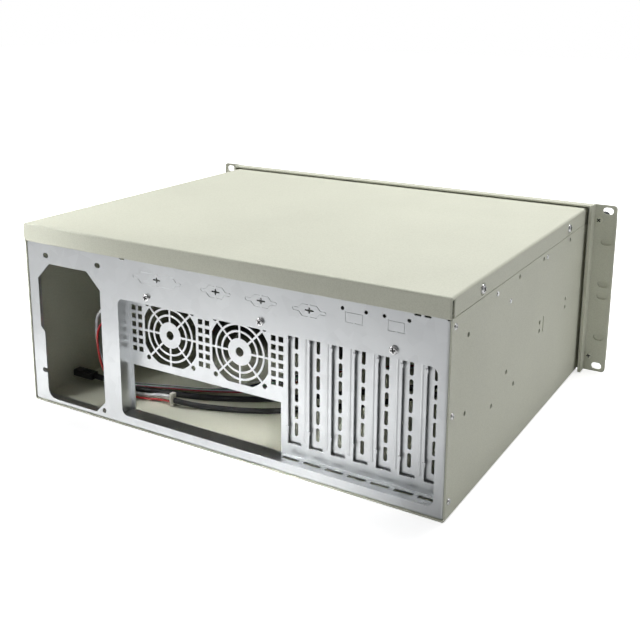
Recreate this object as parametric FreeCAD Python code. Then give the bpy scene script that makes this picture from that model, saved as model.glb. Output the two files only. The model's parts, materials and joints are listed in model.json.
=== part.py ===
"""Empty 4U rackmount server case: folded steel shell, rear panel with a recessed slot bracket, front tray
with rack ears and handles, drop-down door with a lock, drive cage, fan and front-panel harness.

Millimetres. X runs across the case, +Z is up, the front faces -Y. The origin is the middle of the base.
Depths are measured forward from the outer face of the rear panel; along() turns a depth into Y.
"""
import FreeCAD
import Part
import math
import os

from FreeCAD import Vector

# ---- driving dimensions ---------------------------------------------------------------------------------
body_width = 426.0          # over the side walls
body_height = 175.0         # underside of the floor to the top of the lid
body_depth = 352.5          # rear panel face to the back of the front tray wall
sheet = 1.2                 # painted steel sheet
bend_radius = 2.4           # outside radius of the folds
contact_gap = 0.3           # between pieces that are not clamped together

lid_lip = 16.0              # height of the lid's side lips
lid_rear_lip = 16.5         # height of the lid's rear lip
lid_rear_reach = 1.9        # rear lip outer face behind the rear panel face
lid_joggle = 2.4            # inward step of the side walls under the lid's lips
joggle_rise = 0.8           # height over which the walls step in
lid_front_gap = 6.0         # lid's front edge to the tray wall
lid_corner_gap = 3.8        # open corner between the rear lip and a side lip
wall_notch = 10.0           # side walls start this far in, beside the rear lip
lid_screw_depths = (58.0, 286.0)
lid_screw_drop = 9.4        # lid screws below the lid's top
lid_dimple_radius = 5.2
lid_cup_flat = 1.1          # pressed cup: flat seat inside the dimple's edge
lid_cup_floor = 0.8         # thickness of the cup's floor

side_hole_radius = 2.1
# holes through the side walls: (depth, height); the left wall has the front ones only
side_holes = (
    (31.0, 75.6), (89.0, 59.0), (122.0, 76.7), (142.0, 59.2), (208.0, 94.3), (208.0, 86.2),
    (288.0, 94.8), (288.0, 86.7),
)
# holes near the lid: (depth, distance below the lid's top)
side_top_holes = ((32.0, 37.3), (144.0, 21.5), (209.0, 21.5), (291.0, 21.5))
left_holes_from = 200.0
# plated studs pressed into the right wall: (depth, distance below the lid's top)
side_studs = ((91.0, 22.2), (123.0, 37.0), (219.0, 22.2))
stud_radius = 2.1
stud_proud = 0.8
stud_inside = 1.2
side_pressing = (218.0, 89.8)
pressing_size = (15.0, 3.4)
pressing_depth = 0.7
front_return = 12.0         # inward fold at the front end of each side wall
wall_reach = 4.0            # cutters start this far inside a wall

screw_head_height = 2.2
screw_crown = 0.4           # share of the head's height that is chamfered
lid_screw_head = 4.0
lid_screw_height = 3.2
lid_screw_shank = 1.6
lid_screw_length = 6.0
small_screw_head = 3.2
panel_screw_head = 3.6
small_screw_shank = 1.6
rivet_radius = 1.6
rivet_head_radius = 2.7
rivet_head_height = 1.3
rivet_length = 4.5

# rear panel
rear_sheet = 1.2
rear_flange = 14.0
rear_bend = 2.6
rivet_heights = (15.0, 83.0)
rivet_top_drop = 23.5       # uppermost rivet below the lid's top
rivet_depth = 6.0

# power supply opening: standard ATX hole pattern, turned on its side
psu_inset = 89.8            # hole pattern in from the left wall
psu_hole_z = 147.0
psu_pitch_across = 64.0
psu_pitch_down = 138.0
psu_offset_across = 74.0
psu_offset_down = 114.0
psu_hole_radius = 2.3
psu_slot_length = 6.4
psu_edge_inset = 1.6        # opening edge beyond the inner holes
psu_cut_width = 77.4
psu_cut_top = 139.5
psu_cut_bottom = 5.6
psu_chamfer = 15.5
psu_low_chamfer = 11.5
psu_step = 4.6              # lower left part of the opening is narrower
psu_step_height = 72.0
psu_corner = 10.0

# knock-outs: pressed outlines with a pierced cross or a pair of holes
groove_depth = 0.35
groove_width = 0.8
knockout_tab = 2.0
cross_slot_width = 1.3
cross_slot_across = 8.0
cross_slot_down = 5.0
serial_wide = (53.0, 11.0)
serial_narrow = (30.5, 10.5)
serial_slope = 0.42         # sloped ends: share of the outline's height
serial_lobe = 3.6           # width of the lobe for a screw at each end
serial_lobe_reach = 4.2
# middles of the knock-outs, in from the right wall
serial_places = ((268.4, serial_wide), (206.4, serial_narrow), (161.8, serial_narrow), (117.2, serial_narrow))
serial_z = 144.3
jack_places = ((78.1, 15.2), (43.1, 13.8))
jack_z = (141.0, 149.6)
jack_hole_z = 151.6
jack_hole_pitch = 20.0
jack_hole_radius = 1.5
lip_catch_insets = (26.6, 18.8, 307.0)  # short slots under the rear lip's edge, in from the right wall
lip_catch_size = (5.4, 1.5)
lip_catch_drop = 1.3        # slots' middle below the lip's edge

# rear window with the recessed bracket behind it
window_inset = 9.5          # in from the right wall
window_width = 304.7
window_bottom = 10.3
window_top = 120.5
window_corner = 6.0
bracket_sheet = 1.0
recess_depth = 14.5
bracket_clear = 0.8         # bracket side walls outside the window edge
bracket_flange = 12.0
bracket_screw_height = 127.0
bracket_screw_length = 6.0
bracket_screw_insets = (280.3, 162.5, 44.7)     # in from the right wall

io_inset = 2.8              # ATX connector shield opening, in from the window's left edge
io_width = 158.75
io_height = 44.45
fan_grille_z = 90.3         # rear 60 mm fan positions
fan_grille_insets = (46.3, 120.6)       # in from the window's left edge
fan_hole_pitch = 50.0
fan_hole_radius = 2.3
grille_hub = 11.9
grille_hub_hole = 4.0
grille_ring_widths = (5.2, 4.3, 6.4)
grille_web = 1.9
grille_outer_radius = 31.2
grille_half_square = 28.5
grille_reach = 40.0         # half length of the cutters that leave the spokes
vent_square = 4.7
vent_pitch = 7.65
vent_rows = 6
vent_column_offset = 33.7
vent_column_pitch = 7.3

slot_count = 7
slot_pitch = 20.32          # standard expansion slot pitch
slot_first_inset = 130.0    # first slot's middle in from the window's right edge
slot_opening = 12.9
slot_bottom = 20.5
slot_cover_width = 18.4
slot_cover_sheet = 0.8
slot_cover_gap = 2.0        # covers stand this far behind the bracket
slot_cover_overlap = 5.0    # below the slot opening
slot_tab_reach = 13.5
vent_slot_length = 12.0
vent_slot_width = 3.3
vent_slot_pitch = 15.1
vent_slot_lowest = 32.8
vent_slot_rows = 6
slot_screw_depth = 8.0
cover_foot_inset = 1.2
cover_corner = 3.0
cover_foot_bottom = 5.2
foot_slot_depth = 8.8
foot_slot_length = 15.6
foot_slot_width = 3.8
lance_heights = (34.5, 110.0)
lance_reach = 0.7
bead_radius = 1.6
bead_height = 0.5
bead_inset = 4.0
ledge_tab = (11.0, 3.6, 1.2)    # raised tab at the ledge's right end: length, depth and height

# front tray, ears and handles
tray_sheet = 1.5
tray_overhang = 5.0         # tray's sides outside the body
tray_flange = 12.0
ear_bottom = 1.0
ear_height = 177.0          # 4U
ear_reach = 23.3            # ears outside the tray: 482.6 mm over both
rack_hole_inset = 8.75      # rack slots in from the ear's edge: 465.1 mm apart
rack_hole_offsets = (-82.55, -50.8, -6.35, 6.35, 50.8, 82.55)
rack_slot_length = 10.3
rack_slot_width = 7.1
tray_bend = 1.8
ear_corner = 3.5
ear_bend = 0.8
spot_weld_heights = (-82.0, -77.0, -12.0, -7.5, 9.0, 13.5, 77.0, 82.5)
spot_weld_ball = 1.6
spot_weld_lift = 1.1        # centre of the ball that presses the mark, outside the face
tray_screw_inset = 7.5      # in from the side walls
tray_screw_heights = (40.0, 140.0)
tray_screw_radius = 1.7
tray_screw_length = 2.5
handle_hole_spacing = 145.0
handle_hole_inset = 8.6     # inboard of the rack slots
handle_plate_thickness = 2.5
handle_plate_margin = 5.0   # plate beyond the handle holes
handle_reach = 38.0
handle_bar_radius = 4.5
handle_bend = 15.0
handle_screw_radius = 1.9
handle_screw_height = 1.5
handle_screw_hole = 2.2
handle_screw_length = 12.0
handle_plate_corner = 3.0
handle_plate_chamfer = 0.8
handle_plate_inset = 2.5    # plate's inner edge inside the tray's side

# front panel
door_latch_inset = 70.0     # in from the tray's right side
door_inset = 10.0           # in from the tray's left side
door_edge_gap = 4.0         # above and below the door, to the tray's edges
door_thickness = 14.0
door_sheet = 1.2
door_bend = 2.0
door_gap = 0.8
hinge_pin_radius = 1.6
hinge_height = 6.5          # pin axis above the door's lower edge
hinge_clearance = 0.6       # door's round heel to the tray wall
heel_clear = 0.1            # door's pin holes round the pins
hinge_pin_gap = 1.0         # door's end to a hinge lug
hinge_lug = 3.5
hinge_lug_half = 4.0
vent_rows_front = 9
vent_pitch_front = 11.0
vent_length_front = 104.0
vent_width_front = 4.5
lock_x = 4.0
lock_drop = 16.0
lock_radius = 8.0
lock_collar = 2.0
lock_collar_height = 1.6
lock_body_depth = 8.0
lock_plug_radius = 5.5
lock_fit = 0.1
key_slot = (1.8, 8.0, 4.0)  # width, height and depth
cam_reach = 13.0            # cam's end from the lock's axis
cam_width = 7.0
cam_thickness = 1.8
cam_gap = 0.6               # cam to the catch and to the plug's end
catch_sheet = 1.2
catch_width = 16.0
catch_overlap = 5.0         # cam's tip behind the catch when it is turned
catch_height = 13.0
catch_foot = 9.0
front_fan_x = -72.0
front_fan_z = 90.0
front_fan_size = 120.0
front_fan_depth = 25.0
front_fan_holes = 105.0
fan_screw_radius = 2.2
fan_hub = 20.0
fan_rim = 4.0               # frame outside the bore, at its thinnest
fan_flange = 4.5
fan_corner = 5.0
fan_duct_wall = 2.2
fan_strut_width = 4.0
fan_strut_thickness = 3.5
fan_blades = 7
fan_blade_sheet = 1.5
fan_blade_root = ((-5.5, -7.5), (5.3, 7.0))     # (across, forward) of a blade's edges at the hub
fan_blade_tip = ((-14.0, -6.5), (10.0, 6.0))
fan_tip_gap = 2.8
rotor_gap = 0.7
rotor_front_gap = 2.0
rotor_round = 1.5
fan_screw_length = 10.0
finger_guard_rings = (14.0, 28.0, 42.0)
finger_guard_half = 1.4
bay_count = 3
bay_width = 149.0
bay_height = 42.5
bay_left = 24.0
bay_bottom = 24.0
bay_cover_depth = 10.5
bay_cover_wall = 1.6
bay_cover_corner = 1.2
bay_grip_height = 6.0
bay_grip_depth = 0.6
bay_grip_size = (110.0, 2.0)
cage_sheet = 1.0
cage_depth = 128.0
cage_slot_count = 3
cage_slot_first = 30.0      # first side slot behind the tray wall
cage_slot_pitch = 45.0
cage_slot_size = (24.0, 4.0)
cage_border = 15.0          # sheet left round the opening in the cage's top
cage_foot_inset = 10.0
cage_toe = 12.0
control_inset = 36.0        # buttons' line in from the tray's right side
power_z = 132.0
power_radius = 8.0
button_travel = 1.5
reset_z = 108.0
reset_radius = 3.5
led_z = 90.0
led_radius = 2.4
led_offset = 8.0
usb_heights = (48.0, 64.0)
usb_half = (6.4, 2.6)
usb_wall = 0.5
board_thickness = 1.6
board_gap = 8.0             # board's front face behind the tray wall
board_half = 20.0
board_low = 38.0
board_high = 146.0
board_spacer_inset = 4.0
board_spacer_x = 14.0
board_spacer_radius = 2.2
switch_height = 2.2
switches = ((power_z, 6.0), (reset_z, 3.0))     # height and half width of each switch
power_proud = 2.2
power_rim = 1.6
reset_proud = 1.6
reset_rim = 1.3
led_proud = 1.0
usb_tongue = 1.6
usb_tongue_inset = 0.6

# harness: routes are (x, depth, height)
black_cable_radius = 2.7
thin_cable_radius = 2.6
lead_radius = 1.1
grey_lead_radius = 1.7
wire_radius = 0.8
wire_spacing = 1.9
wire_names = ("white", "blue", "green", "violet", "red")
plug_centre = (196.0, 51.0)
plug_size = (24.0, 10.0, 6.4)
plug_lift = 7.3             # the stiff cable holds its plug this far off the floor
plug_round = 1.0
plug_grooves = 4
plug_groove_pitch = 3.0
plug_groove_width = 1.2
plug_groove_depth = 0.6
plug_mouth_depth = 5.0
plug_wall = 1.6
wire_plug_centre = (166.0, 69.0)
wire_plug_size = (13.0, 11.0, 4.4)
wire_plug_groove = 0.35
connector_centre = (88.0, 55.0)
connector_size = (4.2, 5.6, 12.6)
connector_round = 0.8
connector_joint = 0.62      # height of the joint, as a share of the connector's
joint_groove = 0.4
joint_height = 0.8
latch_width = 2.4
latch_height = 1.0
latch_inset = 4.0
socket_centre = (140.0, 36.0)
socket_size = (20.0, 11.0, 16.0)
socket_round = 1.5
socket_skirt = 1.0
socket_skirt_height = 7.2
socket_hole_pitch = 4.0
socket_hole_radius = 1.4
socket_hole_depth = 7.0
main_cable_route = (
    (184, 51, 11.7), (173, 51, 11.7), (158, 54, 8.0), (141, 60, 4.8), (113, 68, 4.1), (81, 76, 4.1),
    (48, 89, 4.1), (14, 109, 4.1), (-16, 134, 4.1), (-44, 162, 4.1), (-74, 190, 4.1), (-112, 228, 4.1),
    (-136, 255, 6.5), (-156, 278, 16.0), (-170, 300, 30.0), (-178, 322, 42.0), (-178, 342.9, 42.0),
)
side_cable_route = (
    (85.9, 55, 6.6), (73.5, 55, 6.6), (53, 64, 4.0), (17, 77, 4.0), (-8, 92, 4.0), (-34, 114, 4.0),
    (-62, 141, 4.0), (-90, 170, 4.0), (-116, 202, 4.0), (-142, 232, 4.8), (-160, 258, 10.0),
    (-174, 280, 22.0), (-184, 300, 38.0), (-190, 322, 52.0), (-190, 342.9, 52.0),
)
red_lead_route = (
    (90.1, 55, 4.4), (100, 55, 4.4), (114, 51.5, 3.0), (131, 47.5, 2.8), (150, 44.5, 6.0),
    (163, 43.0, 22.0), (170, 42.5, 44.0), (168, 41.0, 66.0), (154, 37.5, 80.0), (140, 34.5, 71.0),
    (135, 35.5, 53.0), (134, 36.0, 36.0), (134, 36.0, 17.2),
)
grey_lead_route = (
    (90.1, 55, 9.2), (101, 55, 9.2), (116, 55.5, 5.0), (135, 53.0, 3.4), (154, 49.6, 8.0),
    (168, 49.0, 24.0), (175, 49.0, 42.0), (176.5, 49.0, 60.0), (174.5, 48.5, 76.5), (166.5, 47.5, 85.0),
    (155, 45.5, 85.5), (147.5, 42.5, 77.0), (146, 39.0, 59.0), (146, 36.0, 38.0), (146, 36.0, 17.2),
)
wire_route = (
    (159.5, 72.8, 3.4), (150, 72.8, 3.4), (134, 77.0, 4.6), (108, 85.0, 5.6), (82, 92.0, 5.6), (58, 106, 7.2),
    (34, 128, 12.5), (2, 158, 17.0), (-32, 190, 17.5), (-68, 222, 14.0), (-104, 252, 12.0),
    (-134, 277, 22.0), (-154, 298, 42.0), (-165, 316, 66.0), (-170, 329.5, 86.0), (-170, 342.9, 86.0),
)
# how far each point moves for each further wire of the row
wire_spread = (
    (0, -1.9, 0), (0, -1.9, 0), (0, -2.0, 0), (0, -2.0, 0), (-4.0, -1.3, 0.6), (-9.0, 0.2, 0.7),
    (-8.0, 0, 0.8), (-6.0, 0, 1.0), (-4.5, 0, 1.2), (-3.2, 0, 1.4), (-2.6, 0, 1.6),
    (-2.2, 0, 1.8), (-2.0, 0, 2.2), (-1.6, 0, 2.4), (-1.4, 0, 2.7), (-1.4, 0, 2.7),
)

# ---- derived values -------------------------------------------------------------------------------------
half_width = body_width / 2
lid_top = body_height
tray_half_width = half_width + tray_overhang
rack_width = 2 * (tray_half_width + ear_reach)
rivet_places = rivet_heights + (lid_top - rivet_top_drop,)
wall_holes = side_holes + tuple((depth, lid_top - drop) for depth, drop in side_top_holes)
psu_hole_x = half_width - psu_inset
window_right = window_inset - half_width
window_left = window_right + window_width
io_left = window_left - io_inset
fan_grille_x = [window_left - inset for inset in fan_grille_insets]
slot_first_x = window_right + slot_first_inset
bracket_screw_x = [inset - half_width for inset in bracket_screw_insets]
tray_screw_x = half_width - tray_screw_inset
control_x = control_inset - tray_half_width
door_left = door_latch_inset - tray_half_width
door_right = tray_half_width - door_inset
rear_reach = screw_head_height  # the furthest thing behind the rear panel is a screw head
tray_front = body_depth + tray_sheet
front_reach = tray_front + handle_plate_thickness + handle_reach
rear_y = (front_reach + rear_reach) / 2 - rear_reach
floor_top = sheet
side_inner = half_width - sheet
ear_middle = ear_bottom + ear_height / 2
ear_top = ear_bottom + ear_height
rack_hole_x = rack_width / 2 - rack_hole_inset
door_bottom = ear_bottom + door_edge_gap
door_top = ear_top - door_edge_gap
handle_x = rack_hole_x - handle_hole_inset
lip_bottom = lid_top - lid_lip
joggled = half_width - lid_joggle
panel_half = side_inner
shelf_top = window_top + 1.8
bracket_left = window_left + bracket_clear
bracket_right = window_right - bracket_clear
ledge_top = window_bottom
plate_back = recess_depth + bracket_sheet
door_front = tray_front + door_gap + door_thickness
hinge_z = door_bottom + hinge_height
hinge_depth = tray_front + door_gap + hinge_height + hinge_clearance
lock_z = door_top - lock_drop
joggle_low = lip_bottom - 2 * contact_gap
joggle_high = joggle_low + joggle_rise
plug_back = door_front - lock_body_depth - contact_gap
catch_front = plug_back - cam_gap
catch_back = catch_front - catch_sheet
cam_front = catch_back - cam_gap
catch_top = lock_z - cam_reach + catch_overlap
fan_radius = front_fan_size / 2 - fan_rim
board_front = body_depth - board_gap


# ---- helpers --------------------------------------------------------------------------------------------
def along(depth):
    """Y of a point that lies this far in front of the rear panel's outer face."""
    return rear_y - depth


def block(x0, x1, depth0, depth1, z0, z1):
    """Box between two X values, two depths and two heights."""
    low, high = min(x0, x1), max(x0, x1)
    corner = Vector(low, along(max(depth0, depth1)), z0)
    return Part.makeBox(high - low, abs(depth1 - depth0), z1 - z0, corner)


def round_edges(solid, direction, radius, keep):
    """Fillet the edges that run along direction and whose middle passes the keep test."""
    chosen = []
    for edge in solid.Edges:
        step = edge.valueAt(edge.LastParameter) - edge.valueAt(edge.FirstParameter)
        if abs(abs(step.normalize().dot(direction)) - 1) < 1e-6 and keep(edge.CenterOfMass):
            chosen.append(edge)
    return solid.makeFillet(radius, chosen)


def everywhere(point):
    return True


def post(x, depth, z, radius, length, direction):
    """Round bar that starts at the point and runs along direction."""
    return Part.makeCylinder(radius, length, Vector(x, along(depth), z), direction)


def rear_hole(x, z, radius, depth0, depth1):
    """Cylinder along Y between two depths."""
    return post(x, depth1, z, radius, depth1 - depth0, Vector(0, 1, 0))


def obround(centre, run, through, length, width):
    """Slot with round ends: run is its long direction, through the full extrusion, centred."""
    unit = Vector(run).normalize()
    side = unit.cross(through).normalize() * (width / 2)
    half = unit * ((length - width) / 2)
    base = centre - through * 0.5
    corners = [base - half + side, base + half + side, base + half - side, base - half - side]
    tips = [base + unit * (length / 2), base - unit * (length / 2)]
    edges = [
        Part.LineSegment(corners[0], corners[1]).toShape(),
        Part.Arc(corners[1], tips[0], corners[2]).toShape(),
        Part.LineSegment(corners[2], corners[3]).toShape(),
        Part.Arc(corners[3], tips[1], corners[0]).toShape(),
    ]
    return Part.Face(Part.Wire(edges)).extrude(through)


def outline_face(points, depth):
    """Flat face in an X-Z plane from (x, z) points."""
    corners = [Vector(x, along(depth), z) for x, z in points]
    return Part.Face(Part.makePolygon(corners + corners[:1]))


def plate(points, depth0, depth1):
    """Plate cut from an X-Z outline, between two depths."""
    return outline_face(points, depth1).extrude(Vector(0, depth1 - depth0, 0))


def mirrored(solid):
    return solid.mirror(Vector(0, 0, 0), Vector(1, 0, 0))


def tidy(shape):
    return shape.removeSplitter()


def turned(points, origin, axis_direction):
    """Revolve a closed outline of vectors about an axis."""
    face = Part.Face(Part.makePolygon(points + points[:1]))
    return face.revolve(origin, axis_direction, 360)


def pan_screw(x, depth, z, outward, head_radius, shank_length, shank_radius,
              head_height=screw_head_height):
    """Pan-head screw whose head sits on the point and faces outward; the shank runs the other way."""
    seat = Vector(x, along(depth), z)
    crown = head_height * screw_crown
    head = Part.makeCylinder(head_radius, head_height - crown, seat, outward)
    dome = Part.makeCone(head_radius, head_radius - crown, crown,
                         seat + outward * (head_height - crown), outward)
    head = head.fuse(dome)
    shank = Part.makeCylinder(shank_radius, shank_length, seat, outward * -1)
    return tidy(head.fuse(shank))


def cord_tube(points, radius, name):
    """Tube along straight runs joined by tangent arcs; prints its radii and compares its volume."""
    spots = [Vector(x, along(depth), z) for x, depth, z in points]
    edges = []
    radii = []
    start = spots[0]
    for before, here, after in zip(spots, spots[1:], spots[2:]):
        back = (before - here)
        ahead = (after - here)
        run = min(back.Length, ahead.Length)
        back.normalize()
        ahead.normalize()
        turn = math.pi - math.acos(max(-1.0, min(1.0, back.dot(ahead))))
        reach = 0.45 * run
        arc_radius = reach / math.tan(turn / 2)
        radii.append(arc_radius)
        entry = here + back * reach
        leave = here + ahead * reach
        inner = (back + ahead).normalize()
        centre_gap = math.hypot(arc_radius, reach)
        middle = here + inner * (centre_gap - arc_radius)
        edges.append(Part.LineSegment(start, entry).toShape())
        edges.append(Part.Arc(entry, middle, leave).toShape())
        start = leave
    edges.append(Part.LineSegment(start, spots[-1]).toShape())
    path = Part.Wire(edges)
    first = (spots[1] - spots[0]).normalize()
    section = Part.Wire(Part.makeCircle(radius, spots[0], first))
    tube = path.makePipeShell([section], True, False)
    expected = math.pi * radius * radius * path.Length
    print(f"{name}: length {path.Length:.1f}, least radius {min(radii):.1f} of {2 * radius:.1f} diameter, "
          f"volume ratio {tube.Volume / expected:.4f}")
    return tube


# ---- shell and lid --------------------------------------------------------------------------------------
def make_base_shell():
    """Floor and side walls folded from one sheet; the walls step in where the lid's lips overlap them."""
    wall_top = lid_top - sheet - contact_gap
    outer = half_width
    slant = sheet * math.tan(math.atan2(lid_joggle, joggle_rise) / 2)
    half = [
        (outer, 0), (outer, joggle_low), (joggled, joggle_high), (joggled, wall_top),
        (joggled - sheet, wall_top), (joggled - sheet, joggle_high - slant),
        (outer - sheet, joggle_low - slant), (outer - sheet, floor_top),
    ]
    points = half + [(-x, z) for x, z in reversed(half)]
    shell = plate(points, 0, body_depth)
    across_y = Vector(0, 1, 0)
    shell = round_edges(shell, across_y, bend_radius, lambda p: p.z < floor_top * 0.5)
    shell = round_edges(shell, across_y, bend_radius - sheet,
                        lambda p: abs(p.z - floor_top) < 0.01 and abs(p.x) < half_width)
    pieces = []
    for side in (1, -1):
        edge = side * (side_inner - 0.1)
        pieces.append(block(edge, side * (side_inner - front_return), body_depth - sheet, body_depth,
                            floor_top - 0.1, joggle_low - 2))
    shell = tidy(shell.fuse(pieces))
    cutters = []
    for side in (1, -1):
        direction = Vector(side, 0, 0)
        start = side * (half_width - wall_reach)
        for depth, z in wall_holes:
            if side < 0 or depth > left_holes_from:
                cutters.append(post(start, depth, z, side_hole_radius, 2 * wall_reach, direction))
        for depth in lid_screw_depths:
            cutters.append(post(start, depth, lid_top - lid_screw_drop, lid_screw_shank,
                                2 * wall_reach, direction))
        for z in rivet_places:
            cutters.append(post(start, rivet_depth, z, rivet_radius, 2 * wall_reach, direction))
        cutters.append(block(side * (joggled - sheet - 1), side * (joggled + 1), -1, wall_notch,
                             joggle_high, lid_top))
        for z in tray_screw_heights:
            cutters.append(rear_hole(side * tray_screw_x, z, tray_screw_radius,
                                     body_depth - wall_reach, body_depth + 1))
    for depth, drop in side_studs:
        cutters.append(post(-half_width - 1, depth, lid_top - drop, stud_radius, wall_reach, Vector(1, 0, 0)))
    cutters.append(obround(Vector(-half_width, along(side_pressing[0]), side_pressing[1]), Vector(0, 0, 1),
                           Vector(2 * pressing_depth, 0, 0), *pressing_size))
    return shell.cut(cutters)


def make_top_cover():
    """Lid with a deep rear lip, side lips and a pressed cup under each of its screws."""
    front = body_depth - lid_front_gap
    upward = block(-half_width, half_width, -lid_rear_reach, front, lid_top - lid_rear_lip, lid_top)
    outer = round_edges(upward, Vector(0, 1, 0), bend_radius, lambda p: p.z > lid_top - 1)
    outer = round_edges(outer, Vector(1, 0, 0), bend_radius * 0.8,
                        lambda p: p.z > lid_top - 1 and p.y > along(0))
    inside = side_inner
    hollow = block(-inside, inside, -lid_rear_reach + sheet, front + 1, 0, lid_top - sheet)
    hollow = round_edges(hollow, Vector(0, 1, 0), bend_radius - sheet, lambda p: p.z > 1)
    lid = outer.cut(hollow)
    lip_trim = block(-half_width - 1, half_width + 1, 0, front + 1, 0, lip_bottom)
    lid = lid.cut(lip_trim)
    corner_cuts = []
    for side in (1, -1):
        corner_cuts.append(block(side * (inside - 0.6), side * (half_width + 1),
                                 -lid_rear_reach + sheet, -lid_rear_reach + sheet + lid_corner_gap,
                                 0, lid_top - bend_radius))
    lid = lid.cut(corner_cuts)
    # pressed cups for the screws: the lip is dished in to the joggled wall
    for side in (1, -1):
        outward = Vector(side, 0, 0)
        for depth in lid_screw_depths:
            z = lid_top - lid_screw_drop
            seat = Vector(side * joggled, along(depth), z)
            across = Vector(0, 1, 0)
            deep = outward * (lid_joggle - 0.01)
            hole = across * lid_screw_shank
            flat = across * (lid_dimple_radius - lid_cup_flat)
            rim = across * (lid_dimple_radius + lid_cup_flat)
            floor = outward * lid_cup_floor
            cup = [
                seat + hole, seat + flat, seat + rim + outward * (lid_joggle - sheet), seat + rim + deep,
                seat + across * lid_dimple_radius + deep, seat + flat + floor, seat + hole + floor,
            ]
            clear = Part.makeCylinder(lid_dimple_radius + lid_cup_flat / 2, 6, seat - outward, outward)
            lid = lid.cut(clear).fuse(turned(cup, seat, outward))
    return tidy(lid)


def make_cover_screws():
    screws = []
    for side in (1, -1):
        for depth in lid_screw_depths:
            screws.append(pan_screw(side * (joggled + lid_cup_floor), depth, lid_top - lid_screw_drop,
                                    Vector(side, 0, 0), lid_screw_head, lid_screw_length, lid_screw_shank,
                                    lid_screw_height))
    return Part.makeCompound(screws)


def make_side_rivets():
    rivets = []
    for side in (1, -1):
        for z in rivet_places:
            outward = Vector(side, 0, 0)
            seat = Vector(side * half_width, along(rivet_depth), z)
            head = Part.makeCylinder(rivet_head_radius, rivet_head_height, seat, outward)
            crown = [e for e in head.Edges if (e.CenterOfMass - seat).dot(outward) > rivet_head_height * 0.9]
            head = head.makeFillet(rivet_head_height * 0.55, crown)
            shank = Part.makeCylinder(rivet_radius, rivet_length, seat, outward * -1)
            rivets.append(tidy(head.fuse(shank)))
    return Part.makeCompound(rivets)


def make_side_studs():
    """Round-headed studs pressed through the right wall."""
    studs = []
    for depth, drop in side_studs:
        stud = post(-half_width - stud_proud, depth, lid_top - drop, stud_radius,
                    stud_proud + sheet + stud_inside, Vector(1, 0, 0))
        crown = [e for e in stud.Edges if e.CenterOfMass.x < -half_width - stud_proud * 0.9]
        studs.append(stud.makeFillet(stud_proud * 0.9, crown))
    return Part.makeCompound(studs)


# ---- rear panel -----------------------------------------------------------------------------------------
def knockout(outer, inner, tabs):
    """Groove pressed between two outlines, open where the knock-out hangs on its tabs, at (x, z) places."""
    half = knockout_tab / 2
    bridges = [block(x - half, x + half, -2, 1, z - half, z + half) for x, z in tabs]
    return outer.cut([inner] + bridges)


def serial_prism(x, wide, high, lobe, depth0, depth1):
    """Six-sided prism with a narrow lobe beyond each end."""
    half = wide / 2 - serial_lobe_reach
    shoulder = half - high * serial_slope
    body = plate([
        (x - half, serial_z), (x - shoulder, serial_z - high / 2), (x + shoulder, serial_z - high / 2),
        (x + half, serial_z), (x + shoulder, serial_z + high / 2), (x - shoulder, serial_z + high / 2),
    ], depth0, depth1)
    centre = Vector(x, along((depth0 + depth1) / 2), serial_z)
    lobes = obround(centre, Vector(1, 0, 0), Vector(0, depth1 - depth0, 0), wide, lobe)
    return body.fuse(lobes)


def psu_opening():
    """Opening for the power supply: eight-sided, with a step and one round corner."""
    right = psu_hole_x - psu_edge_inset
    left = right + psu_cut_width
    low_left = left - psu_step
    points = [
        (right, psu_cut_bottom + psu_low_chamfer), (right, psu_cut_top - psu_chamfer),
        (right + psu_chamfer, psu_cut_top), (left - psu_chamfer, psu_cut_top),
        (left, psu_cut_top - psu_chamfer), (left, psu_step_height + psu_step), (low_left, psu_step_height),
        (low_left, psu_cut_bottom), (right + psu_low_chamfer, psu_cut_bottom),
    ]
    cutter = plate(points, -1, rear_sheet + 1)
    return round_edges(cutter, Vector(0, 1, 0), psu_corner,
                       lambda p: p.x > low_left - 0.1 and p.z < psu_cut_bottom + 0.1)


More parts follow.
